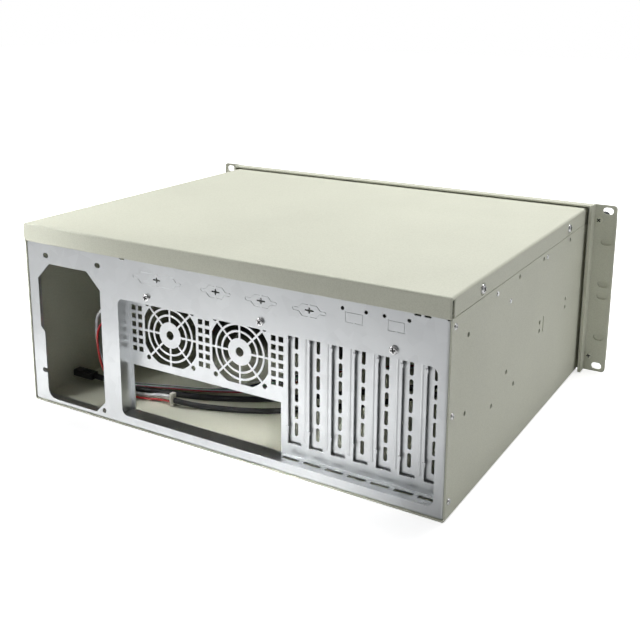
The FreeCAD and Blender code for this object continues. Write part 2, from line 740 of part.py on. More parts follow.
def make_rear_panel():
    top = lid_top - sheet - contact_gap
    shape = block(-panel_half, panel_half, 0, rear_flange, floor_top, top)
    for direction in (Vector(0, 0, 1), Vector(1, 0, 0)):
        shape = round_edges(shape, direction, rear_bend, lambda p: abs(p.y - along(0)) < 0.01)
    t = rear_sheet
    hollow = block(-panel_half + t, panel_half - t, t, rear_flange + 1, floor_top + t, top - t)
    for direction in (Vector(0, 0, 1), Vector(1, 0, 0)):
        hollow = round_edges(hollow, direction, rear_bend - t, lambda p: abs(p.y - along(t)) < 0.01)
    panel = shape.cut(hollow)
    # the flanges clear the joggled side walls under the lid
    sides = [block(side * (joggled - sheet - contact_gap), side * half_width, -1, rear_flange + 1,
                   joggle_low - sheet - contact_gap, top + 1) for side in (1, -1)]
    panel = panel.cut(sides)
    window = block(window_right, window_left, -1, t + 1, window_bottom, window_top)
    window = round_edges(window, Vector(0, 1, 0), window_corner, everywhere)
    through = Vector(0, t + 4, 0)
    cutters = [window, psu_opening()]
    middle = along(t / 2)
    for x in (psu_hole_x, psu_hole_x + psu_pitch_across):
        cutters.append(obround(Vector(x, middle, psu_hole_z), Vector(1, 0, 0), through,
                               psu_slot_length, 2 * psu_hole_radius))
    cutters.append(rear_hole(psu_hole_x, psu_hole_z - psu_pitch_down, psu_hole_radius, -1, t + 1))
    side_slot = Vector(psu_hole_x + psu_offset_across, middle, psu_hole_z - psu_offset_down)
    cutters.append(obround(side_slot, Vector(1, 0, 0), through, psu_slot_length, 2 * psu_hole_radius))
    for inset, size in serial_places:
        x = inset - half_width
        wide, high = size
        outer = serial_prism(x, wide, high, serial_lobe, -1, groove_depth)
        inner = serial_prism(x, wide - 2 * groove_width, high - 2 * groove_width,
                             serial_lobe - 2 * groove_width, -2, groove_depth + 1)
        tabs = [(x, serial_z + sign * high / 2) for sign in (1, -1)]
        cutters.append(knockout(outer, inner, tabs))
        for length, run in ((cross_slot_across, Vector(1, 0, 0)), (cross_slot_down, Vector(0, 0, 1))):
            cutters.append(obround(Vector(x, middle, serial_z), run, through, length, cross_slot_width))
    low, high = jack_z
    for inset, wide in jack_places:
        x = inset - half_width
        outer = block(x - wide / 2, x + wide / 2, -1, groove_depth, low, high)
        half = wide / 2 - groove_width
        inner = block(x - half, x + half, -2, groove_depth + 1, low + groove_width, high - groove_width)
        cutters.append(knockout(outer, inner, ((x, low),)))
        for side in (1, -1):
            cutters.append(rear_hole(x + side * jack_hole_pitch / 2, jack_hole_z, jack_hole_radius,
                                     -1, t + 1))
    catch_z = lid_top - lid_rear_lip - lip_catch_drop
    for inset in lip_catch_insets:
        centre = Vector(inset - half_width, middle, catch_z)
        cutters.append(obround(centre, Vector(1, 0, 0), through, *lip_catch_size))
    for x in bracket_screw_x:
        cutters.append(rear_hole(x, bracket_screw_height, small_screw_shank, -1, t + 1))
    for side in (1, -1):
        for z in rivet_places:
            cutters.append(post(side * (panel_half - wall_reach), rivet_depth, z, rivet_radius,
                                2 * wall_reach, Vector(side, 0, 0)))
    return tidy(panel.cut(cutters))


# ---- recessed bracket and slot covers -------------------------------------------------------------------
def slot_x(index):
    return slot_first_x - index * slot_pitch


def fan_grille(x, z):
    """Cutters for a round fan grille: rings of slots between eight spokes, clipped by a square."""
    start = Vector(x, along(plate_back + 1), z)
    outward = Vector(0, 1, 0)
    length = bracket_sheet + 2
    rings = []
    inner = grille_hub
    for width in grille_ring_widths:
        outer = min(inner + width, grille_outer_radius)
        if width == grille_ring_widths[-1]:
            outer = grille_outer_radius
        ring = Part.makeCylinder(outer, length, start, outward)
        rings.append(ring.cut(Part.makeCylinder(inner, length, start, outward)))
        inner = outer + grille_web
    spokes = []
    half = grille_web / 2
    for quarter in range(4):
        spoke = block(x - grille_reach, x + grille_reach, plate_back + 2, recess_depth - 2,
                      z - half, z + half)
        spoke.rotate(start, outward, 45 * quarter)
        spokes.append(spoke)
    square = block(x - grille_half_square, x + grille_half_square, plate_back + 2, recess_depth - 2,
                   z - grille_half_square, z + grille_half_square)
    cutters = [ring.cut(spokes).common(square) for ring in rings]
    cutters.append(Part.makeCylinder(grille_hub_hole, length, start, outward))
    for side_x in (1, -1):
        for side_z in (1, -1):
            cutters.append(rear_hole(x + side_x * fan_hole_pitch / 2, z + side_z * fan_hole_pitch / 2,
                                     fan_hole_radius, recess_depth - 1, plate_back + 1))
    return cutters


def vent_block(x, z):
    """Two columns of square vents centred on a height."""
    cutters = []
    half = vent_square / 2
    for column in (-0.5, 0.5):
        for row in range(vent_rows):
            cx = x + column * vent_column_pitch
            cz = z + (row - (vent_rows - 1) / 2) * vent_pitch
            cutters.append(block(cx - half, cx + half, recess_depth - 1, plate_back + 1,
                                 cz - half, cz + half))
    return cutters


def make_slot_bracket():
    t = bracket_sheet
    left, right = bracket_left + t, bracket_right - t
    shelf_low = shelf_top - t
    back = block(right, left, recess_depth, plate_back, ledge_top - t, shelf_top)
    left_wall = block(bracket_left, left, rear_sheet, plate_back, ledge_top - t, shelf_top)
    right_wall = block(right, bracket_right, rear_sheet, plate_back, ledge_top - t, shelf_top)
    ledge = block(right, left, rear_sheet, plate_back, ledge_top - t, ledge_top)
    shelf = block(right, left, rear_sheet, plate_back, shelf_low, shelf_top)
    upper = block(right, left, rear_sheet, rear_sheet + t, shelf_low, shelf_top + bracket_flange)
    lower = block(right, left, rear_sheet, rear_sheet + t, ledge_top - 6.5, ledge_top)
    bracket = tidy(back.fuse([left_wall, right_wall, ledge, shelf, upper, lower]))
    bracket = round_edges(bracket, Vector(0, 0, 1), t * 0.9,
                          lambda p: abs(p.y - along(plate_back)) < 0.01 and abs(p.z - window_top / 2) < 30)
    cutters = [block(io_left, io_left - io_width, recess_depth - 1, plate_back + 1,
                     ledge_top, ledge_top + io_height)]
    for x in fan_grille_x:
        cutters += fan_grille(x, fan_grille_z)
    vents = [fan_grille_x[0] + vent_column_offset + vent_column_pitch / 2,
             (fan_grille_x[0] + fan_grille_x[1]) / 2,
             fan_grille_x[1] - vent_column_offset - vent_column_pitch / 2]
    for x in vents:
        cutters += vent_block(x, fan_grille_z - 0.2)
    for index in range(slot_count):
        x = slot_x(index)
        cutters.append(block(x - slot_opening / 2, x + slot_opening / 2, recess_depth - 1, plate_back + 1,
                             slot_bottom, shelf_low - 1.2))
        cutters.append(block(x - foot_slot_length / 2, x + foot_slot_length / 2,
                             foot_slot_depth - foot_slot_width / 2, foot_slot_depth + foot_slot_width / 2,
                             ledge_top - t - 1, ledge_top + 1))
        cutters.append(post(x, slot_screw_depth, shelf_top + 1, small_screw_shank, 6, Vector(0, 0, -1)))
    for x in bracket_screw_x:
        cutters.append(rear_hole(x, bracket_screw_height, small_screw_shank, 0, rear_sheet + t + 1))
    bracket = bracket.cut(cutters)
    # pressed guide lances and a stiffening bead on each web between two slots
    long, deep, high = ledge_tab
    additions = [block(right, right + long, rear_sheet + contact_gap, rear_sheet + contact_gap + deep,
                       ledge_top, ledge_top + high)]
    for index in range(slot_count):
        edge = slot_x(index) + slot_opening / 2
        for z in lance_heights:
            additions.append(block(edge - 0.9, edge + 1.6, recess_depth - lance_reach, recess_depth + 0.5,
                                   z - 1.5, z + 1.5))
        if index < slot_count - 1:
            web = slot_x(index) - slot_pitch / 2
            foot = Vector(web, along(recess_depth + bead_radius - bead_height), slot_bottom + bead_inset)
            bead = Part.makeCylinder(bead_radius, shelf_low - slot_bottom - 2 * bead_inset, foot)
            bead = bead.common(block(web - 5, web + 5, recess_depth - 2, recess_depth + 0.3, 0, shelf_top))
            additions.append(bead)
    return tidy(bracket.fuse(additions))


def make_slot_cover(index):
    x = slot_x(index)
    half = slot_cover_width / 2
    t = slot_cover_sheet
    foot = slot_opening / 2 - cover_foot_inset
    top = shelf_top + t
    low = slot_bottom - slot_cover_overlap
    outline = [
        (x - half, low + cover_corner), (x - foot, low), (x - foot, cover_foot_bottom),
        (x + foot, cover_foot_bottom), (x + foot, low), (x + half, low + cover_corner), (x + half, top),
        (x - half, top),
    ]
    front = plate_back + slot_cover_gap
    body = plate(outline, front, front + t)
    tab = block(x - half, x + half, front + t - slot_tab_reach, front + t, shelf_top, top)
    cover = body.fuse(tab)
    cutters = []
    for row in range(vent_slot_rows):
        centre = Vector(x, along(front + t / 2), vent_slot_lowest + row * vent_slot_pitch)
        cutters.append(obround(centre, Vector(0, 0, 1), Vector(0, 4, 0), vent_slot_length, vent_slot_width))
    cutters.append(post(x, slot_screw_depth, top + 1, small_screw_shank, 6, Vector(0, 0, -1)))
    return tidy(cover.cut(cutters))


def make_slot_screws():
    return Part.makeCompound([
        pan_screw(slot_x(index), slot_screw_depth, shelf_top + slot_cover_sheet, Vector(0, 0, 1),
                  small_screw_head, 5.0, small_screw_shank)
        for index in range(slot_count)])


def make_bracket_screws():
    return Part.makeCompound([
        pan_screw(x, 0, bracket_screw_height, Vector(0, 1, 0), panel_screw_head, bracket_screw_length,
                  small_screw_shank)
        for x in bracket_screw_x])


# ---- front tray, ears, handles --------------------------------------------------------------------------
def make_front_tray():
    top = ear_top
    outer = block(-tray_half_width, tray_half_width, body_depth - tray_flange, tray_front, ear_bottom, top)
    for direction in (Vector(0, 0, 1), Vector(1, 0, 0)):
        outer = round_edges(outer, direction, tray_bend,
                            lambda p: abs(p.y - along(tray_front)) < 0.01 and p.z > ear_bottom + 1)
    hollow = block(-tray_half_width + tray_sheet, tray_half_width - tray_sheet,
                   body_depth - tray_flange - 1, body_depth, ear_bottom - 1, top - tray_sheet)
    tray = outer.cut(hollow)
    cutters = []
    wall = (body_depth - 1, tray_front + 1)
    radius = fan_radius
    ring = rear_hole(front_fan_x, front_fan_z, radius, *wall)
    bars = []
    half_bar = finger_guard_half
    for turn in range(4):
        bar = block(front_fan_x - radius - 2, front_fan_x + radius + 2, wall[0] - 1, wall[1] + 1,
                    front_fan_z - half_bar, front_fan_z + half_bar)
        bar.rotate(Vector(front_fan_x, 0, front_fan_z), Vector(0, 1, 0), 45 * turn)
        bars.append(bar)
    for middle in finger_guard_rings:
        rim = rear_hole(front_fan_x, front_fan_z, middle + half_bar, *wall)
        if middle > finger_guard_rings[0]:
            rim = rim.cut(rear_hole(front_fan_x, front_fan_z, middle - half_bar, *wall))
        bars.append(rim)
    cutters.append(ring.cut(bars))
    for sx in (1, -1):
        for sz in (1, -1):
            cutters.append(rear_hole(front_fan_x + sx * front_fan_holes / 2,
                                     front_fan_z + sz * front_fan_holes / 2, fan_screw_radius, *wall))
    cutters.append(block(bay_left, bay_left + bay_width, wall[0], wall[1],
                         bay_bottom, bay_bottom + bay_count * bay_height))
    cutters.append(rear_hole(control_x, power_z, power_radius + contact_gap, *wall))
    cutters.append(rear_hole(control_x, reset_z, reset_radius + contact_gap, *wall))
    usb_wide, usb_high = (half + contact_gap for half in usb_half)
    for side in (1, -1):
        cutters.append(rear_hole(control_x + side * led_offset, led_z, led_radius, *wall))
        for z in tray_screw_heights:
            cutters.append(rear_hole(side * tray_screw_x, z, tray_screw_radius, *wall))
    for z in usb_heights:
        cutters.append(block(control_x - usb_wide, control_x + usb_wide, wall[0], wall[1],
                             z - usb_high, z + usb_high))
    return tidy(tray.cut(cutters))


def make_ear_bracket(side):
    """L-shaped ear that is spot-welded to the tray's side flange."""
    x_in = tray_half_width
    x_out = rack_width / 2
    flange = block(x_in, x_in + tray_sheet, body_depth - tray_flange, tray_front, ear_bottom, ear_top)
    ear = block(x_in, x_out, body_depth, tray_front, ear_bottom, ear_top)
    ear = round_edges(ear, Vector(0, 1, 0), ear_corner, lambda p: p.x > x_in + 5)
    bracket = tidy(flange.fuse(ear))
    fold = Vector(x_in + tray_sheet, along(body_depth), ear_middle)
    bracket = round_edges(bracket, Vector(0, 0, 1), ear_bend, lambda p: (p - fold).Length < 0.1)
    through = Vector(0, tray_sheet + 4, 0)
    cutters = []
    for offset in rack_hole_offsets:
        centre = Vector(rack_hole_x, along(body_depth + tray_sheet / 2), ear_middle + offset)
        cutters.append(obround(centre, Vector(1, 0, 0), through, rack_slot_length, rack_slot_width))
    for sign in (1, -1):
        z = ear_middle + sign * handle_hole_spacing / 2
        cutters.append(rear_hole(handle_x, z, handle_screw_hole, body_depth - 1, tray_front + 1))
    weld_x = x_in + tray_sheet + spot_weld_lift
    for z in spot_weld_heights:
        centre = Vector(weld_x, along(body_depth - tray_flange / 2), ear_middle + z)
        cutters.append(Part.makeSphere(spot_weld_ball, centre))
    bracket = bracket.cut(cutters)
    return bracket if side > 0 else mirrored(bracket)


def make_handle_plate(side):
    half_spacing = handle_hole_spacing / 2
    x_in = tray_half_width - handle_plate_inset
    x_out = rack_width / 2
    front = tray_front + handle_plate_thickness
    low = ear_middle - half_spacing - handle_plate_margin
    high = ear_middle + half_spacing + handle_plate_margin
    shape = block(x_in, x_out, tray_front, front, low, high)
    shape = round_edges(shape, Vector(0, 1, 0), handle_plate_corner, everywhere)
    face_edges = [e for e in shape.Edges if abs(e.CenterOfMass.y - along(front)) < 0.01]
    shape = shape.makeChamfer(handle_plate_chamfer, face_edges)
    holes = [rear_hole(handle_x, ear_middle + sign * half_spacing, handle_screw_hole,
                       tray_front - 1, front + 1) for sign in (1, -1)]
    shape = shape.cut(holes)
    return shape if side > 0 else mirrored(shape)


def make_handle(side):
    """Bow handle bent from round bar; its ends are tapped for the screws."""
    half_spacing = handle_hole_spacing / 2
    foot = tray_front + handle_plate_thickness
    tip = foot + handle_reach - handle_bar_radius
    x = handle_x

    def spot(depth, z):
        return Vector(x, along(depth), ear_middle + z)

    bend = handle_bend
    diagonal = bend * (1 - math.sqrt(0.5))
    edges = [Part.LineSegment(spot(foot, -half_spacing), spot(tip - bend, -half_spacing)).toShape()]
    edges.append(Part.Arc(spot(tip - bend, -half_spacing), spot(tip - diagonal, -half_spacing + diagonal),
                          spot(tip, -half_spacing + bend)).toShape())
    edges.append(Part.LineSegment(spot(tip, -half_spacing + bend), spot(tip, half_spacing - bend)).toShape())
    edges.append(Part.Arc(spot(tip, half_spacing - bend), spot(tip - diagonal, half_spacing - diagonal),
                          spot(tip - bend, half_spacing)).toShape())
    edges.append(Part.LineSegment(spot(tip - bend, half_spacing), spot(foot, half_spacing)).toShape())
    section = Part.Wire(Part.makeCircle(handle_bar_radius, spot(foot, -half_spacing), Vector(0, 1, 0)))
    bar = Part.Wire(edges).makePipeShell([section], True, False)
    thread = handle_screw_length - tray_sheet - handle_plate_thickness + contact_gap
    holes = [rear_hole(x, ear_middle + sign * half_spacing, handle_screw_radius, foot - 1, foot + thread)
             for sign in (1, -1)]
    bar = bar.cut(holes)
    return bar if side > 0 else mirrored(bar)


def make_handle_screws():
    screws = []
    for side in (1, -1):
        for sign in (1, -1):
            z = ear_middle + sign * handle_hole_spacing / 2
            screws.append(pan_screw(side * handle_x, body_depth, z, Vector(0, 1, 0), panel_screw_head,
                                    handle_screw_length, handle_screw_radius, handle_screw_height))
    return Part.makeCompound(screws)


def make_tray_screws():
    screws = []
    for side in (1, -1):
        for z in tray_screw_heights:
            screws.append(pan_screw(side * tray_screw_x, body_depth - sheet, z, Vector(0, 1, 0),
                                    small_screw_head, tray_screw_length, tray_screw_radius))
    return Part.makeCompound(screws)


# ---- front door -----------------------------------------------------------------------------------------
def make_front_door():
    back = tray_front + door_gap
    outer = block(door_left, door_right, back, door_front, door_bottom, door_top)
    for direction in (Vector(0, 0, 1), Vector(1, 0, 0)):
        outer = round_edges(outer, direction, door_bend, lambda p: abs(p.y - along(door_front)) < 0.01)
    t = door_sheet
    hollow = block(door_left + t, door_right - t, back - 1, door_front - t, door_bottom + t, door_top - t)
    door = outer.cut(hollow)
    # the lower edge at the back is round about the pins, so that the door clears the tray as it drops
    heel = block(door_left - 1, door_right + 1, back - 1, hinge_depth, door_bottom - 1, hinge_z)
    heel = heel.cut(post(door_left - 2, hinge_depth, hinge_z, hinge_height, door_right - door_left + 4,
                         Vector(1, 0, 0)))
    door = door.cut(heel)
    through = Vector(0, 4 * door_sheet, 0)
    cutters = []
    for row in range(vent_rows_front):
        z = front_fan_z + (row - (vent_rows_front - 1) / 2) * vent_pitch_front
        centre = Vector(front_fan_x, along(door_front), z)
        cutters.append(obround(centre, Vector(1, 0, 0), through, vent_length_front, vent_width_front))
    cutters.append(rear_hole(lock_x, lock_z, lock_radius, door_front - 4, door_front + 1))
    for x in (door_left - 1, door_right - 4):
        cutters.append(post(x, hinge_depth, hinge_z, hinge_pin_radius + heel_clear, 6, Vector(1, 0, 0)))
    return tidy(door.cut(cutters))


def make_hinge_lugs():
    """A lug at each end of the door, welded to the tray wall and drilled for its pin."""
    lugs = []
    near, far = hinge_pin_gap, hinge_pin_gap + hinge_lug
    for x0, x1 in ((door_left - far, door_left - near), (door_right + near, door_right + far)):
        lug = block(x0, x1, tray_front, hinge_depth + hinge_lug_half,
                    hinge_z - hinge_lug_half, hinge_z + hinge_lug_half)
        lug = round_edges(lug, Vector(1, 0, 0), hinge_lug_half * 0.9, lambda p: p.y < along(hinge_depth))
        hole = post(x0 - 1, hinge_depth, hinge_z, hinge_pin_radius, hinge_lug + 2, Vector(1, 0, 0))
        lugs.append(lug.cut(hole))
    return Part.makeCompound(lugs)


def make_hinge_pins():
    """A pin at each end of the door, fixed in the tray's lug and turning in the door's end."""
    length = hinge_lug + hinge_pin_gap + 2 * door_sheet
    left = door_left - hinge_pin_gap - hinge_lug
    right = door_right - 2 * door_sheet
    return Part.makeCompound([
        post(x, hinge_depth, hinge_z, hinge_pin_radius, length, Vector(1, 0, 0)) for x in (left, right)])


def make_lock_housing():
    """Round lock case clamped in the door skin, open through its middle for the cylinder."""
    seat = Vector(lock_x, along(door_front), lock_z)
    forward = Vector(0, -1, 0)
    collar = Part.makeCylinder(lock_radius + lock_collar, lock_collar_height, seat, forward)
    face_edges = [e for e in collar.Edges if e.CenterOfMass.y < seat.y - lock_collar_height * 0.9]
    collar = collar.makeFillet(lock_collar_height / 2, face_edges)
    barrel = Part.makeCylinder(lock_radius, lock_body_depth, seat, forward * -1)
    bore = Part.makeCylinder(lock_plug_radius + lock_fit, 4 * lock_body_depth,
                             seat + forward * lock_body_depth, forward * -1)
    return tidy(collar.fuse(barrel).cut(bore))


def make_lock_cylinder():
    """Plug with a key slot, a neck and a cam that turns down behind the catch."""
    front = door_front + lock_collar_height - contact_gap
    plug = rear_hole(lock_x, lock_z, lock_plug_radius, plug_back, front)
    wide, high, deep = key_slot
    plug = plug.cut(block(lock_x - wide / 2, lock_x + wide / 2, front - deep, front + 1,
                          lock_z - high / 2, lock_z + high / 2))
    neck = rear_hole(lock_x, lock_z, cam_width / 2, cam_front - cam_thickness, plug_back + 0.1)
    cam_length = cam_reach + cam_width / 2
    centre = Vector(lock_x + cam_length / 2 - cam_width / 2, along(cam_front - cam_thickness / 2), lock_z)
    cam = obround(centre, Vector(1, 0, 0), Vector(0, cam_thickness, 0), cam_length, cam_width)
    return tidy(plug.fuse([neck, cam]))


def make_lock_catch():
    """Z-shaped catch welded to the tray wall; its upright stands in front of the turned cam."""
    x0, x1 = lock_x - catch_width / 2, lock_x + catch_width / 2
    low = catch_top - catch_height
    foot = block(x0, x1, tray_front, tray_front + catch_sheet, low - catch_foot, low + catch_sheet)
    shelf = block(x0, x1, tray_front, catch_front, low, low + catch_sheet)
    upright = block(x0, x1, catch_back, catch_front, low, catch_top)
    return tidy(foot.fuse([shelf, upright]))


# ---- control strip, fan, drive cage ---------------------------------------------------------------------
def push_button(z, radius, proud, rim):
    """Round cap through the tray wall with a flange behind it; only the flange touches the wall."""
    back = board_front + switch_height + button_travel + contact_gap
    cap = rear_hole(control_x, z, radius, back, tray_front + proud)
    face_edges = [e for e in cap.Edges if e.CenterOfMass.y < along(tray_front + proud * 0.9)]
    cap = cap.makeFillet(proud / 2, face_edges)
    flange = rear_hole(control_x, z, radius + rim, back, body_depth - contact_gap)
    return tidy(cap.fuse(flange))


def make_led_lenses():
    lenses = []
    for side in (1, -1):
        lens = rear_hole(control_x + side * led_offset, led_z, led_radius,
                         board_front, tray_front + led_proud)
        face_edges = [e for e in lens.Edges if e.CenterOfMass.y < along(tray_front + led_proud * 0.9)]
        lenses.append(lens.makeFillet(led_proud * 0.9, face_edges))
    return Part.makeCompound(lenses)


def make_control_board():
    """Small circuit board that carries the switches, lamps and ports behind the tray wall."""
    board = block(control_x - board_half, control_x + board_half, board_front - board_thickness, board_front,
                  board_low, board_high)
    additions = []
    for z, half in switches:
        additions.append(block(control_x - half, control_x + half, board_front, board_front + switch_height,
                               z - half, z + half))
    for side in (1, -1):
        for z in (board_low + board_spacer_inset, board_high - board_spacer_inset):
            additions.append(rear_hole(control_x + side * board_spacer_x, z, board_spacer_radius,
                                       board_front, body_depth))
    return tidy(board.fuse(additions))


def make_usb_ports():
    """Two folded metal sockets with a plastic tongue in each."""
    half_wide, half_high = usb_half
    wide, high = half_wide - usb_wall, half_high - usb_wall
    tongue = wide - usb_tongue_inset
    ports = []
    for z in usb_heights:
        outer = block(control_x - half_wide, control_x + half_wide, board_front, tray_front + contact_gap,
                      z - half_high, z + half_high)
        inner = block(control_x - wide, control_x + wide, board_front + 1, tray_front + 1, z - high, z + high)
        blade = block(control_x - tongue, control_x + tongue, board_front + 0.5, tray_front - 1,
                      z + high - usb_tongue_inset - usb_tongue, z + high - usb_tongue_inset)
        ports.append(tidy(outer.cut(inner).fuse(blade)))
    return Part.makeCompound(ports)


def fan_hole_cutters(radius, depth0, depth1):
    """A hole at each corner of the front fan."""
    offset = front_fan_holes / 2
    return [rear_hole(front_fan_x + sx * offset, front_fan_z + sz * offset, radius, depth0, depth1)
            for sx in (1, -1) for sz in (1, -1)]


def make_fan_frame():
    """Square frame with flanged ends, a thin round duct and four struts that hold the motor's seat."""
    half = front_fan_size / 2
    back, front = body_depth - front_fan_depth, body_depth
    strut_front = back + fan_strut_thickness
    frame = block(front_fan_x - half, front_fan_x + half, back, front, front_fan_z - half, front_fan_z + half)
    frame = round_edges(frame, Vector(0, 1, 0), fan_corner, everywhere)
    bore = rear_hole(front_fan_x, front_fan_z, fan_radius, strut_front, front + 1)
    rear_bore = rear_hole(front_fan_x, front_fan_z, fan_radius, back - 1, strut_front)
    struts = [rear_hole(front_fan_x, front_fan_z, fan_hub, back - 2, strut_front + 1)]
    half_strut = fan_strut_width / 2
    for turn in range(4):
        strut = block(front_fan_x, front_fan_x + fan_radius + 2, back - 2, strut_front + 1,
                      front_fan_z - half_strut, front_fan_z + half_strut)
        strut.rotate(Vector(front_fan_x, 0, front_fan_z), Vector(0, 1, 0), 45 + 90 * turn)
        struts.append(strut)
    waist = rear_hole(front_fan_x, front_fan_z, front_fan_size, back + fan_flange, front - fan_flange)
    duct = rear_hole(front_fan_x, front_fan_z, fan_radius + fan_duct_wall, back, front)
    cutters = [bore, rear_bore.cut(struts), waist.cut(duct)]
    return tidy(frame.cut(cutters + fan_hole_cutters(fan_screw_radius, back - 1, front + 1)))


def blade_section(x, low, high):
    """Slanted section of a fan blade; low and high are (across, forward) of its two edges."""
    points = [
        Vector(x, low[0], low[1]), Vector(x, high[0], high[1]), Vector(x, high[0] + fan_blade_sheet, high[1]),
        Vector(x, low[0] + fan_blade_sheet, low[1]),
    ]
    return Part.makePolygon(points + points[:1])


def make_fan_rotor():
    back = body_depth - front_fan_depth + fan_strut_thickness + rotor_gap
    front = body_depth - rotor_front_gap
    hub = rear_hole(front_fan_x, front_fan_z, fan_hub, back, front)
    hub = hub.makeFillet(rotor_round, [e for e in hub.Edges if e.CenterOfMass.y < along(front - 0.5)])
    blades = []
    for index in range(fan_blades):
        root = blade_section(fan_hub - 2, *fan_blade_root)
        tip = blade_section(fan_radius - fan_tip_gap, *fan_blade_tip)
        blade = Part.makeLoft([root, tip], True, True)
        blade.rotate(Vector(0, 0, 0), Vector(1, 0, 0), 90)
        blade.rotate(Vector(0, 0, 0), Vector(0, 1, 0), 360 / fan_blades * index)
        blade.translate(Vector(front_fan_x, along((back + front) / 2), front_fan_z))
        blades.append(blade)
    return tidy(hub.fuse(blades))


def make_fan_screws():
    offset = front_fan_holes / 2
    return Part.makeCompound([
        pan_screw(front_fan_x + sx * offset, tray_front, front_fan_z + sz * offset, Vector(0, -1, 0),
                  panel_screw_head, fan_screw_length, fan_screw_radius)
        for sx in (1, -1) for sz in (1, -1)])


def make_drive_cage():
    """Open-ended box for the drives, slotted at the sides, standing on two feet."""
    t = cage_sheet
    back = body_depth - cage_depth
    x0, x1 = bay_left - t, bay_left + bay_width + t
    top = bay_bottom + bay_count * bay_height
    cage = block(x0, x1, back, body_depth, bay_bottom - t, top + t)
    cutters = [block(bay_left, x1 - t, back - 1, body_depth + 1, bay_bottom, top)]
    for bay in range(bay_count):
        z = bay_bottom + (bay + 0.5) * bay_height
        for step in range(cage_slot_count):
            depth = body_depth - cage_slot_first - step * cage_slot_pitch
            cutters.append(obround(Vector((x0 + x1) / 2, along(depth), z), Vector(0, 1, 0),
                                   Vector(1.5 * bay_width, 0, 0), *cage_slot_size))
    cutters.append(block(bay_left + cage_border, x1 - t - cage_border, back + cage_border,
                         body_depth - cage_border, top - 1, top + t + 1))
    cage = cage.cut(cutters)
    front = body_depth - cage_foot_inset
    feet = []
    for x, toe_end in ((x0, x0 - cage_toe), (x1 - t, x1 + cage_toe)):
        feet.append(block(x, x + t, back, front, floor_top, bay_bottom))
        feet.append(block(x, toe_end, back, front, floor_top, floor_top + t))
    return tidy(cage.fuse(feet))


def make_bay_cover(index):
    """Shallow moulded blank that fills one drive bay, with a finger groove along its lower edge."""
    z0 = bay_bottom + index * bay_height + contact_gap
    z1 = z0 + bay_height - 2 * contact_gap
    x0, x1 = bay_left + contact_gap, bay_left + bay_width - contact_gap
    wall = bay_cover_wall
    cover = block(x0, x1, tray_front - bay_cover_depth, tray_front, z0, z1)
    cover = round_edges(cover, Vector(0, 1, 0), bay_cover_corner, everywhere)
    cover = cover.cut(block(x0 + wall, x1 - wall, 0, tray_front - wall, z0 + wall, z1 - wall))
    centre = Vector((x0 + x1) / 2, along(tray_front), z0 + bay_grip_height)
    return cover.cut(obround(centre, Vector(1, 0, 0), Vector(0, 2 * bay_grip_depth, 0), *bay_grip_size))


# ---- harness --------------------------------------------------------------------------------------------
def wire_points(index):
    return [tuple(a + b * index for a, b in zip(point, step)) for point, step in zip(wire_route, wire_spread)]


def make_black_plug():
    """Flat multi-way plug at the end of the panel cable."""
    long, wide, high = plug_size
    x, depth = plug_centre
    low = floor_top + plug_lift
    left, right = x - long / 2, x + long / 2
    body = block(left, right, depth - wide / 2, depth + wide / 2, low, low + high)
    body = round_edges(body, Vector(1, 0, 0), plug_round, everywhere)
    cutters = []
    for groove in range(plug_grooves):
        start = left + plug_groove_pitch * (groove + 1)
        cutters.append(block(start, start + plug_groove_width, depth - wide, depth + wide,
                             low + high - plug_groove_depth, low + high + 1))
    cutters.append(block(right - plug_mouth_depth, right + 1, depth - wide / 2 + plug_wall,
                         depth + wide / 2 - plug_wall, low + plug_wall, low + high - plug_wall))
    return tidy(body.cut(cutters))


def make_wire_plug():
    """Row of single contacts in one flat housing at the end of the lamp and switch wires."""
    long, wide, high = wire_plug_size
    x, depth = wire_plug_centre
    top = floor_top + high
    body = block(x - long / 2, x + long / 2, depth - wide / 2, depth + wide / 2, floor_top, top)
    half_groove = wire_plug_groove / 2
    cutters = []
    for line in range(len(wire_names) + 1):
        middle = depth + (line - len(wire_names) / 2) * wire_spacing
        cutters.append(block(x - long, x + long, middle - half_groove, middle + half_groove,
                             top - wire_plug_groove, top + 1))
    return tidy(body.cut(cutters))


def make_white_connector():
    """Upright nylon wire-to-wire connector with a latch rib and a waist where its halves meet."""
    x, depth = connector_centre
    wide, deep, high = connector_size
    body = block(x - wide / 2, x + wide / 2, depth - deep / 2, depth + deep / 2, floor_top, floor_top + high)
    body = round_edges(body, Vector(0, 0, 1), connector_round, everywhere)
    half_rib = latch_width / 2
    latch = block(x - half_rib, x + half_rib, depth - deep / 2 - latch_height, depth - deep / 2 + 0.5,
                  floor_top + latch_inset, floor_top + high - 1)
    low = floor_top + high * connector_joint
    inset = joint_groove
    band = block(x - wide, x + wide, depth - deep, depth + deep, low, low + joint_height)
    half_wide, half_deep = wide / 2 - inset, deep / 2 - inset
    core = block(x - half_wide, x + half_wide, depth - half_deep, depth + half_deep,
                 low - 1, low + joint_height + 1)
    return tidy(body.cut(band.cut(core)).fuse(latch))


def make_lead_socket():
    """Four-way nylon power socket standing on the floor, with a round hole for each contact."""
    x, depth = socket_centre
    wide, deep, high = socket_size
    body = block(x - wide / 2, x + wide / 2, depth - deep / 2, depth + deep / 2, floor_top, floor_top + high)
    body = round_edges(body, Vector(0, 0, 1), socket_round, everywhere)
    half_wide, half_deep = wide / 2 + socket_skirt, deep / 2 + socket_skirt
    skirt = block(x - half_wide, x + half_wide, depth - half_deep, depth + half_deep,
                  floor_top, floor_top + socket_skirt_height)
    skirt = round_edges(skirt, Vector(0, 0, 1), socket_round, everywhere)
    holes = [post(x + place * socket_hole_pitch, depth, floor_top - 1, socket_hole_radius, socket_hole_depth,
                  Vector(0, 0, 1)) for place in (-1.5, -0.5, 0.5, 1.5)]
    return tidy(body.fuse(skirt).cut(holes))


